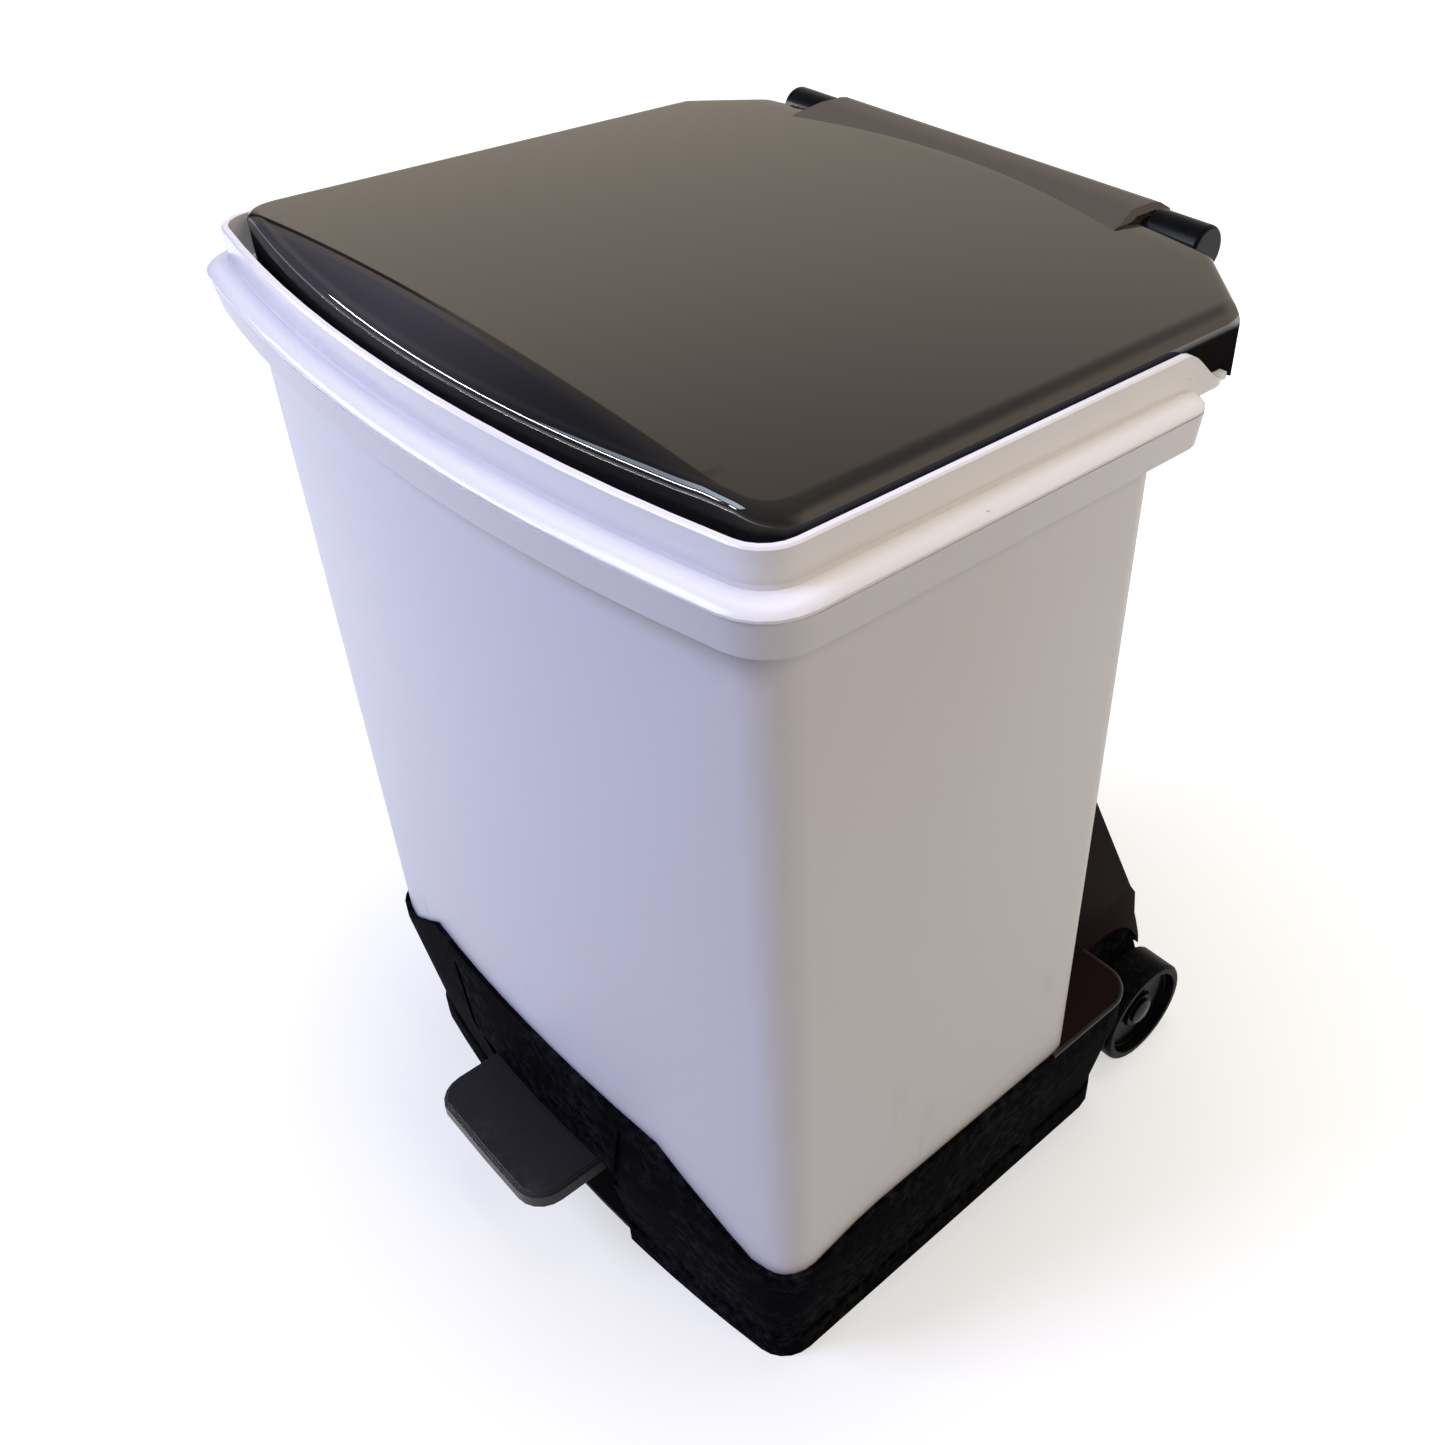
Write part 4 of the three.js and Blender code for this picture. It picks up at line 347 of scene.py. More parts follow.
def lid_paint():
    """Mirror plastic, with its front lens coloured as a painted bluish sheen, a painted dark shade line along
    the crease, a painted olive reflection band below it, painted shade that darkens the lens towards the
    right, and a matt skirt in painted shade.
    """
    paint = Paint("lid_mirror_plastic")
    dark, black = finishes().lid_dark, finishes().lens_painted_sheen
    sizes = bpy.context.scene.lid_sizes
    # Painted shade: across X from crisp_x to faded_x the lens darkens towards the right, and its edge at the
    # crease grows softer, from crisp_edge to faded_edge wide
    crisp_x, faded_x = -0.04, 0.10
    crisp_edge, faded_edge = 0.0003, 0.0073
    # Widths of the painted shade line at the crease and of the painted olive reflection band below it
    crease_shade_full, crease_shade_end = 0.0013, 0.0019
    olive_full, olive_end = 0.0034, 0.0048
    # Height over which the skirt's matt finish and painted shade blend in
    skirt_blend = 0.0035
    away = sizes.crease_y - paint.axis("Y")
    # Painted shade mask: zero on the lens's left, one towards its right end
    shade_to_right = paint.step(paint.axis("X"), crisp_x, faded_x)
    lens = paint.step(away, 0.0, shade_to_right * (faded_edge - crisp_edge) + crisp_edge)
    # Painted shade: a dark line just in front of the crease, on the lens's left and middle
    crease_shade = paint.step(away, crease_shade_end, crease_shade_full) * lens * (1.0 - shade_to_right)
    # Painted reflection: an olive band just below the crease, on the lens's left and middle
    olive = paint.step(away, olive_end, olive_full) * (1.0 - crease_shade) * (1.0 - shade_to_right)
    foot = sizes.edge_z - sizes.side_lip
    # The skirt is matt, and coloured darker as painted shade under the lip
    skirt = paint.step(paint.axis("Z"), foot + skirt_blend, foot)
    cloud = paint.noise(7.0, detail=3.0)
    hair = paint.step(paint.noise(90.0, detail=5.0, rough=0.8, stretch=(1.0, 0.12, 1.0)), 0.66, 0.78)
    tone = paint.blend(cloud, shaded(dark, 0.92), shaded(dark, 1.08))
    # Painted shade: the crease line and the lens's right part go down to a quarter of the lens colour
    deep = paint.blend(crease_shade.most(shade_to_right), black, shaded(black, 0.25))
    # Painted reflection: the olive band laid over the lens colour
    front = paint.blend(olive, deep, finishes().painted_olive_reflection)
    # Painted shade: the skirt is coloured about a third of the lens colour
    paint.set(Base_Color=paint.blend(skirt, paint.blend(lens, tone, front), shaded(black, 0.35)))
    paint.set(Roughness=cloud * 0.03 + 0.06 + hair * 0.05 + skirt * 0.3, IOR=1.5, Specular_IOR_Level=0.0)
    mirror = (1.0 - lens * 0.5) * (1.0 - skirt) * (1.0 - crease_shade * 0.8)
    paint.set(Coat_Weight=mirror, Coat_Roughness=0.04, Coat_IOR=2.0)
    paint.bump(paint.noise(26.0, detail=2.0), strength=0.02, distance=0.0006)
    return paint.material


def hood_paint():
    paint = Paint("hood_satin_plastic")
    dark = finishes().hood_dark
    cloud = paint.noise(30.0, detail=3.0)
    paint.set(Base_Color=paint.blend(cloud, shaded(dark, 0.85), shaded(dark, 1.2)))
    paint.set(Roughness=cloud * 0.1 + 0.33, IOR=1.5, Specular_IOR_Level=0.35)
    paint.bump(paint.noise(2400.0, detail=1.0), strength=0.14, distance=0.0002)
    return paint.material


def base_paint():
    paint = Paint("base_matt_plastic")
    black, dust = finishes().base_black, finishes().dust_grey
    mottle = paint.step(paint.noise(150.0, detail=5.0, rough=0.75), 0.42, 0.66)
    patch = paint.noise(18.0, detail=3.0)
    dusty = paint.blend(mottle * paint.step(patch, 0.30, 0.62), black, dust)
    sizes = bpy.context.scene.bin_sizes
    below, flush, blend_length = 0.0008, 0.0002, 0.006
    height = paint.step(paint.axis("Z"), sizes.rim_z - below, sizes.rim_z - flush)
    ledge = height * paint.step(paint.axis("Y"), sizes.rim_start, sizes.rim_start + blend_length)
    paint.set(Base_Color=paint.blend(ledge, dusty, shaded(finishes().housing_black, 1.5)))
    paint.set(Roughness=0.62 + patch * 0.2, IOR=1.5, Specular_IOR_Level=0.004)
    paint.bump(paint.noise(900.0, detail=3.0) + mottle * 0.5, strength=0.25, distance=0.0003)
    return paint.material


def pedal_paint():
    paint = Paint("pedal_rubbed_plastic")
    black, worn = finishes().pedal_black, finishes().pedal_worn
    edge_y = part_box("pedal")[0].y
    worn_depth, past_edge = 0.016, 0.001
    front = paint.step(paint.axis("Y"), edge_y + worn_depth, edge_y - past_edge)
    rub = paint.step(paint.noise(70.0, detail=5.0, rough=0.7), 0.42, 0.72)
    grain = paint.grains(900.0)
    paint.set(Base_Color=paint.blend(front * rub * 0.9 + rub * 0.08, black, worn))
    paint.set(Roughness=0.42 + grain * 0.1 - front * 0.1, IOR=1.5, Specular_IOR_Level=0.25)
    paint.bump(grain, strength=0.30, distance=0.0002)
    return paint.material


def housing_paint():
    paint = Paint("housing_satin_plastic")
    black = finishes().housing_black
    cloud = paint.noise(22.0, detail=3.0)
    paint.set(Base_Color=paint.blend(cloud, shaded(black, 0.8), shaded(black, 1.3)))
    paint.set(Roughness=0.38 + cloud * 0.12, IOR=1.5, Specular_IOR_Level=0.01)
    paint.bump(paint.noise(1500.0, detail=2.0), strength=0.16, distance=0.0002)
    return paint.material


def rim_paint():
    paint = Paint("rim_painted_highlight")
    grey = finishes().rim_highlight_grey
    # Painted highlight: the bead's grey is lighter than the base, as the light line along the rim's edge; the
    # cloud varies its tone at random
    cloud = paint.noise(60.0, detail=4.0)
    paint.set(Base_Color=paint.blend(cloud, shaded(grey, 0.6), shaded(grey, 1.4)))
    paint.set(Roughness=0.26 + cloud * 0.12, IOR=1.5, Specular_IOR_Level=0.25)
    paint.bump(paint.noise(900.0, detail=2.0), strength=0.08, distance=0.0002)
    return paint.material


def frame_paint():
    paint = Paint("frame_matt_plastic")
    black = finishes().base_black
    cloud = paint.noise(25.0, detail=4.0)
    paint.set(Base_Color=paint.blend(cloud, shaded(black, 1.2), shaded(black, 2.4)))
    paint.set(Roughness=0.5 + cloud * 0.15, IOR=1.5, Specular_IOR_Level=0.1)
    paint.bump(paint.noise(1300.0, detail=2.0), strength=0.18, distance=0.0002)
    return paint.material


def cap_paint():
    paint = Paint("cap_gloss_plastic")
    black = finishes().cap_black
    cloud = paint.noise(55.0, detail=3.0)
    paint.set(Base_Color=paint.blend(cloud, shaded(black, 0.8), shaded(black, 1.4)))
    paint.set(Roughness=0.22 + cloud * 0.12, IOR=1.5, Specular_IOR_Level=0.10)
    paint.set(Coat_Weight=0.12, Coat_Roughness=0.3)
    paint.bump(paint.noise(240.0, detail=2.0), strength=0.05, distance=0.0003)
    return paint.material


def wheel_paint():
    """Hard plastic with dust on its tread. Both wheels turn about the same line, so one centre does."""
    paint = Paint("wheel_hard_plastic")
    black, dust = finishes().cap_black, finishes().dust_grey
    low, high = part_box("wheel_right")
    centre_y, centre_z = (low.y + high.y) / 2, (low.z + high.z) / 2
    radius, tread_start = high.z - centre_z, 0.93
    across = paint.axis("Y") - centre_y
    up = paint.axis("Z") - centre_z
    away = (across * across + up * up) ** 0.5
    tread = paint.step(away, radius * tread_start, radius)
    grit = paint.step(paint.noise(260.0, detail=4.0, rough=0.7), 0.45, 0.7)
    paint.set(Base_Color=paint.blend(tread * grit * 0.5, black, dust))
    paint.set(Roughness=0.14 + tread * 0.2 + grit * 0.06, IOR=1.5, Specular_IOR_Level=0.02)
    paint.bump(grit, strength=0.08, distance=0.0002)
    return paint.material


def steel_paint():
    paint = Paint("plated_steel")
    grey = finishes().steel_grey
    streak = paint.noise(420.0, detail=3.0, rough=0.6, stretch=(1.0, 0.08, 0.08))
    cloud = paint.noise(16.0, detail=3.0)
    paint.set(Base_Color=paint.blend(cloud, shaded(grey, 0.8), shaded(grey, 1.1)))
    paint.set(Metallic=1.0, Roughness=0.24 + streak * 0.16 + cloud * 0.08)
    paint.bump(streak, strength=0.08, distance=0.0001)
    return paint.material


def rubber_paint():
    paint = Paint("soft_rubber")
    black = finishes().rubber_black
    cloud = paint.noise(120.0, detail=4.0)
    paint.set(Base_Color=paint.blend(cloud, shaded(black, 0.8), shaded(black, 1.8)))
    paint.set(Roughness=0.8 + cloud * 0.15)
    paint.bump(cloud, strength=0.2, distance=0.0003)
    return paint.material


PAINTS = {
    "bucket": bucket_paint,
    "ring": ring_paint,
    "lid": lid_paint,
    "hood": hood_paint,
    "base": base_paint,
    "pedal": pedal_paint,
    "housing": housing_paint,
    "rim": rim_paint,
    "frame": frame_paint,
    "cap": cap_paint,
    "wheel": wheel_paint,
    "steel": steel_paint,
    "rubber": rubber_paint,
}
made_paints = {}


def material(name):
    """The finish of that name, made once."""
    if name not in made_paints:
        made_paints[name] = PAINTS[name]()
    return made_paints[name]


# Making pieces


def add_piece(name, bm, paint, body, nodes=()):
    """One finished object from a bmesh, riding on its body."""
    mesh = bpy.data.meshes.new(name)
    bm.to_mesh(mesh)
    bm.free()
    piece = bpy.data.objects.new(name, mesh)
    bpy.context.scene.collection.objects.link(piece)
    mesh.materials.append(material(paint))
    if nodes:
        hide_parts(*nodes)
    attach(piece, body)
    return piece


def soften(piece, width, segments):
    """Moulded edges, with shading that keeps the flat faces flat."""
    bevel = piece.modifiers.new("moulded_edges", "BEVEL")
    bevel.width = width
    bevel.segments = segments
    bevel.limit_method = "ANGLE"
    bevel.angle_limit = BEVEL_TURN
    bevel.harden_normals = True


def smooth_by_angle(bm, limit):
    """Shades faces that meet at less than an angle as one surface."""
    for face in bm.faces:
        face.smooth = True
    for edge in bm.edges:
        edge.smooth = len(edge.link_faces) == 2 and edge.calc_face_angle(0.0) < limit


def merged_copy(node):
    """A bmesh of a CAD node with its loose triangles joined and its flat faces made whole."""
    bm = bmesh.new()
    bm.from_mesh(frame["nodes"][node].data)
    bmesh.ops.remove_doubles(bm, verts=bm.verts, dist=WELD)
    bmesh.ops.dissolve_limit(bm, angle_limit=FLAT_TURN, verts=bm.verts, edges=bm.edges, delimit={"NORMAL"})
    return bm


def smooth_node(node, paint, body, edge_share=1.0):
    """Replaces a CAD node by its smooth copy with moulded edges, edge_share times the usual radius."""
    sizes = bpy.context.scene.bin_sizes
    bm = merged_copy(node)
    smooth_by_angle(bm, sizes.smooth_angle)
    piece = add_piece(f"{node}_smooth", bm, paint, body, [node])
    soften(piece, sizes.edge_round * edge_share, sizes.edge_segments)


def dress_node(node, paint):
    """Gives a finish to a CAD node that keeps its own shape."""
    mesh = frame["nodes"][node].data
    mesh.materials.clear()
    mesh.materials.append(material(paint))


class BIN_OT_bucket(Operator):
    """Smooth white bucket with its rim and hanging band"""

    bl_idname = "bin.bucket"
    bl_label = "Bucket"

    def execute(self, context):
        smooth_node("bin_body", "bucket", "bin_frame")
        return {"FINISHED"}


class BIN_OT_ring(Operator):
    """Glossy white bag ring"""

    bl_idname = "bin.ring"
    bl_label = "Bag ring"

    def execute(self, context):
        smooth_node("bag_ring", "ring", "bin_frame")
        return {"FINISHED"}


# Shape of the lid's skin: how its lens falls and how its rows and columns are spread
ROUNDS_TO_AGREE = 3
STRAIGHT_SHARE = 0.30
LEDGE_ONSET = 4
EVEN_SHARE = 0.35
ROW_CROWDING = 1.4


def lid_front(sizes, x):
    """Y of the lid's front edge: its bow, run smoothly into its two round corners.

    Where an arc starts depends on how far the bow leans there, and the other way round, so the two
    are worked out in turn until they agree.
    """
    side, turn = sizes.half_width, sizes.corner
    start = side - turn
    for _ in range(ROUNDS_TO_AGREE):
        lean = math.atan(2 * sizes.bow * start / side**2)
        start = side - turn * (1 - math.sin(lean))
    held = min(abs(x), start)
    line = sizes.crease_y - sizes.bow * (1 - (held / side) ** 2)
    into = min(abs(x), side) - held + turn * math.sin(lean)
    return line + turn * math.cos(lean) - math.sqrt(max(turn**2 - into**2, 0.0))


def lid_rear(sizes, x):
    """Y of the lid's rear edge, with its two cut corners."""
    into = max(abs(x) - (sizes.half_width - sizes.cut_width), 0.0)
    return sizes.rear_y - sizes.cut_length * into / sizes.cut_width


def lid_height(sizes, x, y):
    """Height of the crowned top, and of the lens that falls in front of its crease."""
    side = min(abs(x) / sizes.half_width, 1.0)
    crown = sizes.edge_z + sizes.crown * (1 - side * side)
    reach = sizes.bow * (1 - side * side) + sizes.lens_margin
    away = max(sizes.crease_y - y, 0.0) / reach
    onto_ledge = min(away * reach / sizes.ledge_width, 1.0)
    ledge = onto_ledge * sizes.ledge_depth * min(away * LEDGE_ONSET, 1.0)
    fall = crown - sizes.edge_z + sizes.lens_drop
    slope = STRAIGHT_SHARE * away + (1 - STRAIGHT_SHARE) * away * away
    return crown - fall * slope - ledge + sizes.lift


def lid_place(sizes, u, v, lens_share):
    """Where a point of the flat grid, from -1 to 1 both ways, lies on the lid."""
    inner = sizes.half_width + sizes.lift - sizes.side_lip
    x = inner * (EVEN_SHARE * u + (1 - EVEN_SHARE) * math.sin(u * QUARTER_TURN))
    front = lid_front(sizes, x * sizes.half_width / inner) + sizes.lip
    rear = lid_rear(sizes, x) - sizes.lip
    crease = max(sizes.crease_y, front + sizes.crease_gap + sizes.crease_spread * (1 - abs(u)))
    share_of_depth = (v + 1) / 2
    if share_of_depth < lens_share:
        part = 1 - share_of_depth / lens_share
        y = crease + (front - crease) * part**ROW_CROWDING
    else:
        y = crease + (rear - crease) * (share_of_depth - lens_share) / (1 - lens_share)
    return Vector((x, y, lid_height(sizes, x, y)))


def outward_turns(loop_edges):
    """Level outward direction at each vertex of a closed boundary."""
    beside = {}
    for edge in loop_edges:
        for vert, other in (edge.verts, reversed(edge.verts)):
            beside.setdefault(vert, []).append(other)
    turns = {}
    for vert, (first, second) in beside.items():
        along = (second.co - first.co).to_2d().normalized()
        out = Vector((along.y, -along.x, 0.0))
        face_side = sum((face.calc_center_median() - vert.co).dot(out) for face in vert.link_faces)
        turns[vert] = -out if face_side > 0 else out
    return turns


def of_kind(items, kind):
    """Those of the items that are of one bmesh kind."""
    return [item for item in items if isinstance(item, kind)]


def roll_out(bm, turns, outward, downward):
    """Extrudes the boundary and moves the new edge out and down, as two functions say for each vertex.

    Each gets the vertex's outward turn and the vertex that it came from. The new vertices' turns are
    returned.
    """
    edges = [edge for edge in bm.edges if edge.is_boundary]
    made = bmesh.ops.extrude_edge_only(bm, edges=edges)["geom"]
    moved = {}
    for vert in of_kind(made, bmesh.types.BMVert):
        source = next(edge.other_vert(vert) for edge in vert.link_edges if edge.other_vert(vert) in turns)
        turn = turns[source]
        vert.co += turn * outward(turn, source) + Vector((0.0, 0.0, -downward(turn, source)))
        moved[vert] = turn
    return moved


def lid_skin(sizes):
    """Crowned top, front lens, rolled lip and skirt of the lid as one open skin."""
    rows = sizes.lens_rows + sizes.top_rows
    lens_share = sizes.lens_rows / rows
    bm = bmesh.new()
    bmesh.ops.create_grid(bm, x_segments=sizes.columns, y_segments=rows, size=1.0)
    for vert in bm.verts:
        vert.co = lid_place(sizes, vert.co.x, vert.co.y, lens_share)
    turns = outward_turns([edge for edge in bm.edges if edge.is_boundary])

    def lip_share(share):
        return lambda turn, _: share * math.hypot(turn.x * sizes.side_lip, turn.y * sizes.lip)

    def no_way(turn, _):
        return 0.0

    def to_foot(_, vert):
        deep = sizes.tail_drop if vert.co.y > sizes.tail_y else 0.0
        return vert.co.z - sizes.foot_z + deep

    count = sizes.lip_steps
    for step in range(count):
        start, end = (QUARTER_TURN * (step + k) / count for k in (0, 1))
        out = math.sin(end) - math.sin(start)
        down = math.cos(start) - math.cos(end)
        turns = roll_out(bm, turns, lip_share(out), lip_share(down))
    roll_out(bm, turns, no_way, to_foot)
    bmesh.ops.recalc_face_normals(bm, faces=bm.faces)
    return bm


def open_hinge_way(bm, sizes):
    """Takes the faces out of the rear skirt where the hood and the hinge are."""
    upright_limit = 0.3
    faces = []
    for face in bm.faces:
        middle = face.calc_center_median()
        at_rear = middle.y > sizes.rear_y - sizes.way_depth
        if at_rear and abs(middle.x) < sizes.way_half_width and abs(face.normal.z) < upright_limit:
            faces.append(face)
    bmesh.ops.delete(bm, geom=faces, context="FACES")


def shade_lid(bm, sizes):
    """Shades the skin as one smooth surface, apart from its sharp crease."""
    for face in bm.faces:
        face.smooth = True
    for edge in bm.edges:
        edge.smooth = any(abs(vert.co.y - sizes.crease_y) >= TOUCH for vert in edge.verts)


class BIN_OT_lid(Operator):
    """Dark mirror-smooth lid: crowned top, sloping front lens, rolled lip and skirt"""

    bl_idname = "bin.lid"
    bl_label = "Lid"

    def execute(self, context):
        sizes = context.scene.lid_sizes
        bm = lid_skin(sizes)
        open_hinge_way(bm, sizes)
        shade_lid(bm, sizes)
        piece = add_piece("lid_skin", bm, "lid", "lid_body", ["lid"])
        shell = piece.modifiers.new("wall", "SOLIDIFY")
        shell.thickness = sizes.wall
        shell.offset = -1.0
        return {"FINISHED"}


class BIN_OT_hood(Operator):
    """Satin hood over the hinge with its front facet, flat top and round back"""

    bl_idname = "bin.hood"
    bl_label = "Hood"

    def execute(self, context):
        sizes = context.scene.bin_sizes
        bm = merged_copy("lid")
        side = sizes.hood_half_length
        cuts = [
            ((side, 0.0, 0.0), (1.0, 0.0, 0.0)),
            ((-side, 0.0, 0.0), (-1.0, 0.0, 0.0)),
            ((0.0, sizes.hood_front, 0.0), (0.0, -1.0, 0.0)),
        ]
        for place, normal in cuts:
            whole = [*bm.verts, *bm.edges, *bm.faces]
            bmesh.ops.bisect_plane(
                bm, geom=whole, dist=TOUCH, plane_co=place, plane_no=normal, clear_outer=True
            )
        smooth_by_angle(bm, sizes.smooth_angle)
        piece = add_piece("lid_hood", bm, "hood", "lid_body", ["lid"])
        soften(piece, sizes.edge_round, sizes.edge_segments + 1)
        return {"FINISHED"}


def run_on(bm, faces, offset):
    """Extrudes faces by an offset, and returns the new end faces."""
    made = bmesh.ops.extrude_face_region(bm, geom=faces)["geom"]
    bmesh.ops.delete(bm, geom=faces, context="FACES_ONLY")
    bmesh.ops.translate(bm, verts=of_kind(made, bmesh.types.BMVert), vec=offset)
    return of_kind(made, bmesh.types.BMFace)


def rim_bead(sizes, side):
    """A round bead on the edge of the base's ledge: back beside the bucket, round the corner, inward."""
    sunk_share = 0.7
    inset = sizes.rim_bead * sunk_share
    turn = sizes.rim_corner - inset
    start = Vector((sizes.rim_half_width - inset, sizes.rim_start, sizes.rim_z))
    centre = Vector((start.x - turn, sizes.rim_rear_y - inset - turn, sizes.rim_z))
    bm = bmesh.new()
    upright = Matrix.Translation(start) @ Matrix.Rotation(QUARTER_TURN, 4, "X")
    bmesh.ops.create_circle(bm, segments=BEAD_STEPS, radius=sizes.rim_bead, cap_ends=True, matrix=upright)
    ahead = run_on(bm, list(bm.faces), Vector((0.0, centre.y - start.y, 0.0)))
    turned = bmesh.ops.spin(
        bm, geom=ahead, cent=centre, axis=(0.0, 0.0, 1.0), angle=QUARTER_TURN, steps=BEAD_STEPS
    )
    bmesh.ops.delete(bm, geom=ahead, context="FACES_ONLY")
    last = of_kind(turned["geom_last"], bmesh.types.BMFace)
    run_on(bm, last, Vector((sizes.rim_end - centre.x, 0.0, 0.0)))
    bmesh.ops.remove_doubles(bm, verts=bm.verts, dist=TOUCH)
    if side < 0:
        bmesh.ops.scale(bm, verts=bm.verts, vec=(-1.0, 1.0, 1.0))
    bmesh.ops.recalc_face_normals(bm, faces=bm.faces)
    smooth_by_angle(bm, sizes.smooth_angle)
    return bm


class BIN_OT_base(Operator):
    """Matt black base with its rim beads, and the rear housing"""

    bl_idname = "bin.base"
    bl_label = "Base and housing"

    def execute(self, context):
        smooth_node("base", "base", "bin_frame")
        for side, name in ((-1, "left"), (1, "right")):
            bm = rim_bead(context.scene.bin_sizes, side)
            add_piece(f"rim_bead_{name}", bm, "rim", "bin_frame", ["base"])
        smooth_node("rear_housing", "housing", "bin_frame")
        return {"FINISHED"}


class BIN_OT_pedal(Operator):
    """Pedal plate with its rubbed front edge"""

    bl_idname = "bin.pedal"
    bl_label = "Pedal"

    def execute(self, context):
        smooth_node("pedal", "pedal", "pedal_body")
        return {"FINISHED"}


class BIN_OT_wheels(Operator):
    """Rear wheels, axle caps and hinge caps"""

    bl_idname = "bin.wheels"
    bl_label = "Wheels and caps"

    def execute(self, context):
        for side in ("left", "right"):
            smooth_node(f"wheel_{side}", "wheel", f"wheel_{side}_body")
            smooth_node(f"axle_cap_{side}", "cap", "bin_frame", 0.5)
            smooth_node(f"hinge_cap_{side}", "cap", "bin_frame")
        return {"FINISHED"}


FINISH_OF_SLOT = {"steel": "steel", "rubber": "rubber", "black_plastic": "frame"}


class BIN_OT_linkage(Operator):
    """Finishes of the CAD nodes that keep their shape: spine, brackets, linkage and screws"""

    bl_idname = "bin.linkage"
    bl_label = "Linkage"

    def execute(self, context):
        for part in frame["record"]["subparts"]:
            finish = FINISH_OF_SLOT.get(part["material_slot"])
            if finish and not frame["nodes"][part["node"]].hide_render:
                dress_node(part["node"], finish)
        return {"FINISHED"}


class BIN_OT_stage(Operator):
    """Pale floor, soft studio light and the camera"""

    bl_idname = "bin.stage"
    bl_label = "Stage"

    def execute(self, context):
        make_floor()
        make_world()
        make_lamps()
        make_camera(context.scene.stage_sizes)
        context.scene.view_settings.view_transform = "Standard"
        return {"FINISHED"}


def make_floor():
    """Floor just below the feet. It glows where it is seen or mirrored, more so away from the bin."""
    half_size, clearance = 6.0, 0.0004
    near, far, near_glow = 0.10, 0.80, 0.55
    bm = bmesh.new()
    bmesh.ops.create_grid(bm, x_segments=2, y_segments=2, size=half_size)
    bmesh.ops.translate(bm, verts=bm.verts, vec=(0.0, 0.0, -clearance))
    mesh = bpy.data.meshes.new("floor")
    bm.to_mesh(mesh)
    bm.free()
    floor = bpy.data.objects.new("floor", mesh)
    bpy.context.scene.collection.objects.link(floor)
    paint = Paint("pale_floor")
    cloud = paint.noise(3.0, detail=2.0)
    across, along = paint.axis("X"), paint.axis("Y")
    away = paint.step((across * across + along * along) ** 0.5, near, far)
    glow = (away * (1 - near_glow) + near_glow) * paint.seen()
    paint.set(Base_Color=paint.blend(cloud, (0.46, 0.46, 0.46), (0.49, 0.49, 0.49)), Roughness=0.9)
    paint.set(Emission_Color=paint.blend(glow, (0.0, 0.0, 0.0), (1.0, 1.0, 1.0)), Emission_Strength=1.0)
    mesh.materials.append(paint.material)


def make_world():
    """A soft room: warm and bright behind the bin, a little bright low down, else cool and dark."""
    world = bpy.data.worlds.new("studio")
    bpy.context.scene.world = world
    dark, warm = (0.10, 0.105, 0.125), (1.0, 0.88, 0.73)
    room = Nodes(world)
    # Each step runs between two values of the direction's own Y or Z
    behind = room.step(room.axis("Y"), -0.15, 0.40)
    overhead = room.step(room.axis("Z"), 0.36, 0.80)
    level = room.step(room.axis("Z"), 0.34, 0.02)
    light = (behind * (1.0 - overhead * 0.9)).most(level * 0.25)
    values = {"Color": room.blend(light, dark, warm), "Strength": 0.55}
    back = room.node("ShaderNodeBackground", values=values)
    room.node("ShaderNodeOutputWorld", values={"Surface": back.outputs[0]})


def make_lamp(name, place, size, watts, shade, mirrored=False):
    """One soft lamp, aimed at the bin's middle. It lights the pieces, or is only mirrored in them."""
    lamp = bpy.data.lights.new(name, "AREA")
    lamp.shape = "RECTANGLE"
    lamp.size, lamp.size_y = size
    lamp.energy = watts
    lamp.color = shade
    holder = bpy.data.objects.new(name, lamp)
    bpy.context.scene.collection.objects.link(holder)
    holder.location = place
    bin_middle = Vector((0.0, 0.0, 0.30))
    aim = bin_middle - Vector(place)
    holder.rotation_euler = aim.to_track_quat("-Z", "Y").to_euler()
    holder.visible_glossy = mirrored
    holder.visible_diffuse = not mirrored


def make_lamps():
    cool, warm, neutral = (0.62, 0.655, 1.0), (1.0, 0.79, 0.50), (1.0, 0.97, 0.95)
    strip_white, sky_blue = (0.97, 0.98, 1.0), (0.70, 0.84, 1.0)
    make_lamp("cool_front", (-1.05, -2.1, 2.75), (1.2, 1.2), watts=92.0, shade=cool)
    make_lamp("warm_side", (1.7, 0.1, 1.8), (0.8, 0.8), watts=13.0, shade=warm)
    make_lamp("top", (0.1, 0.2, 2.2), (0.9, 0.9), watts=17.0, shade=neutral)
    make_lamp("lip_strip", (-1.1, -1.3, 1.05), (1.8, 0.08), watts=34.0, shade=strip_white, mirrored=True)
    make_lamp("front_sheen", (-0.75, -1.5, 1.8), (1.2, 0.9), watts=14.0, shade=sky_blue, mirrored=True)


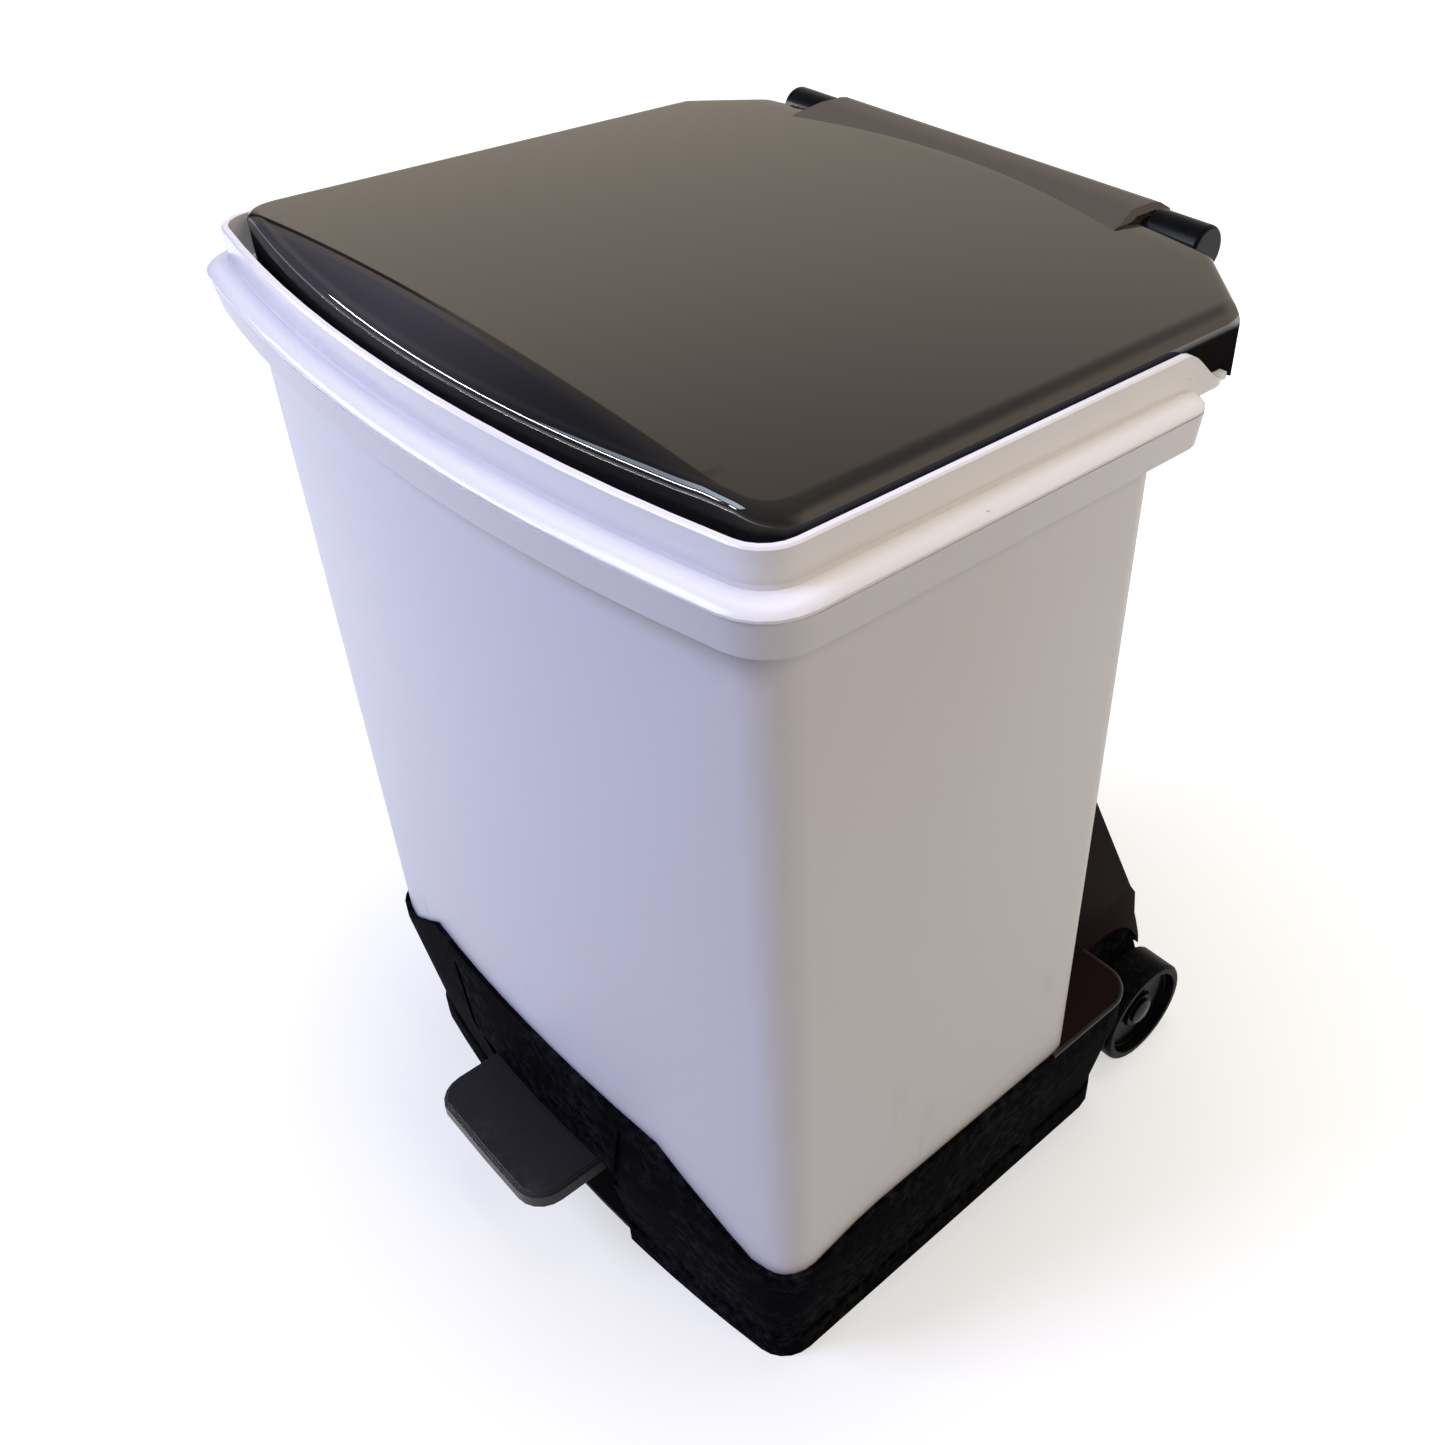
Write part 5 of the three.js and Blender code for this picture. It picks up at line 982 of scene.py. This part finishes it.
def make_camera(sizes):
    """The photograph's camera, from its place, its three angles, its lens and its shift."""
    azimuth, elevation, roll = sizes.azimuth, sizes.elevation, sizes.roll
    level = math.cos(elevation)
    forward = Vector((-math.sin(azimuth) * level, math.cos(azimuth) * level, -math.sin(elevation)))
    level_right = forward.cross(Vector((0.0, 0.0, 1.0))).normalized()
    level_up = level_right.cross(forward)
    right = level_right * math.cos(roll) + level_up * math.sin(roll)
    up = level_up * math.cos(roll) - level_right * math.sin(roll)
    turn = Matrix((right, up, -forward)).transposed()
    data = bpy.data.cameras.new("photo_camera")
    data.sensor_width = 36.0
    data.lens = sizes.lens
    data.shift_x = sizes.shift_x
    data.shift_y = sizes.shift_y
    data.clip_start = 0.05
    data.clip_end = 30.0
    camera = bpy.data.objects.new("photo_camera", data)
    bpy.context.scene.collection.objects.link(camera)
    camera.matrix_world = Matrix.Translation(sizes.camera_place) @ turn.to_4x4()
    bpy.context.scene.camera = camera


OPERATORS = (
    BIN_OT_bucket,
    BIN_OT_ring,
    BIN_OT_lid,
    BIN_OT_hood,
    BIN_OT_base,
    BIN_OT_pedal,
    BIN_OT_wheels,
    BIN_OT_linkage,
    BIN_OT_stage,
)


class BIN_PT_pieces(Panel):
    """Lists the pieces of the pedal bin"""

    bl_label = "Pedal Bin"
    bl_idname = "BIN_PT_pieces"
    bl_space_type = "VIEW_3D"
    bl_region_type = "UI"
    bl_category = "Pedal Bin"

    def draw(self, context):
        for made in OPERATORS:
            self.layout.operator(made.bl_idname)
        for group in (
            context.scene.bin_sizes,
            context.scene.lid_sizes,
            context.scene.bin_finishes,
            context.scene.stage_sizes,
        ):
            for name in group.bl_rna.properties.keys():
                if name not in {"rna_type", "name"}:
                    self.layout.prop(group, name)


CLASSES = (BinFinishes, BinSizes, LidSizes, StageSizes, *OPERATORS, BIN_PT_pieces)


def register():
    for made in CLASSES:
        bpy.utils.register_class(made)
    bpy.types.Scene.bin_finishes = PointerProperty(type=BinFinishes)
    bpy.types.Scene.bin_sizes = PointerProperty(type=BinSizes)
    bpy.types.Scene.lid_sizes = PointerProperty(type=LidSizes)
    bpy.types.Scene.stage_sizes = PointerProperty(type=StageSizes)


def unregister():
    del bpy.types.Scene.stage_sizes
    del bpy.types.Scene.lid_sizes
    del bpy.types.Scene.bin_sizes
    del bpy.types.Scene.bin_finishes
    for made in reversed(CLASSES):
        bpy.utils.unregister_class(made)


def main():
    """Makes every piece and the stage."""
    register()
    bpy.ops.bin.bucket()
    bpy.ops.bin.ring()
    bpy.ops.bin.lid()
    bpy.ops.bin.hood()
    bpy.ops.bin.base()
    bpy.ops.bin.pedal()
    bpy.ops.bin.wheels()
    bpy.ops.bin.linkage()
    bpy.ops.bin.stage()


if __name__ == "__main__":
    main()
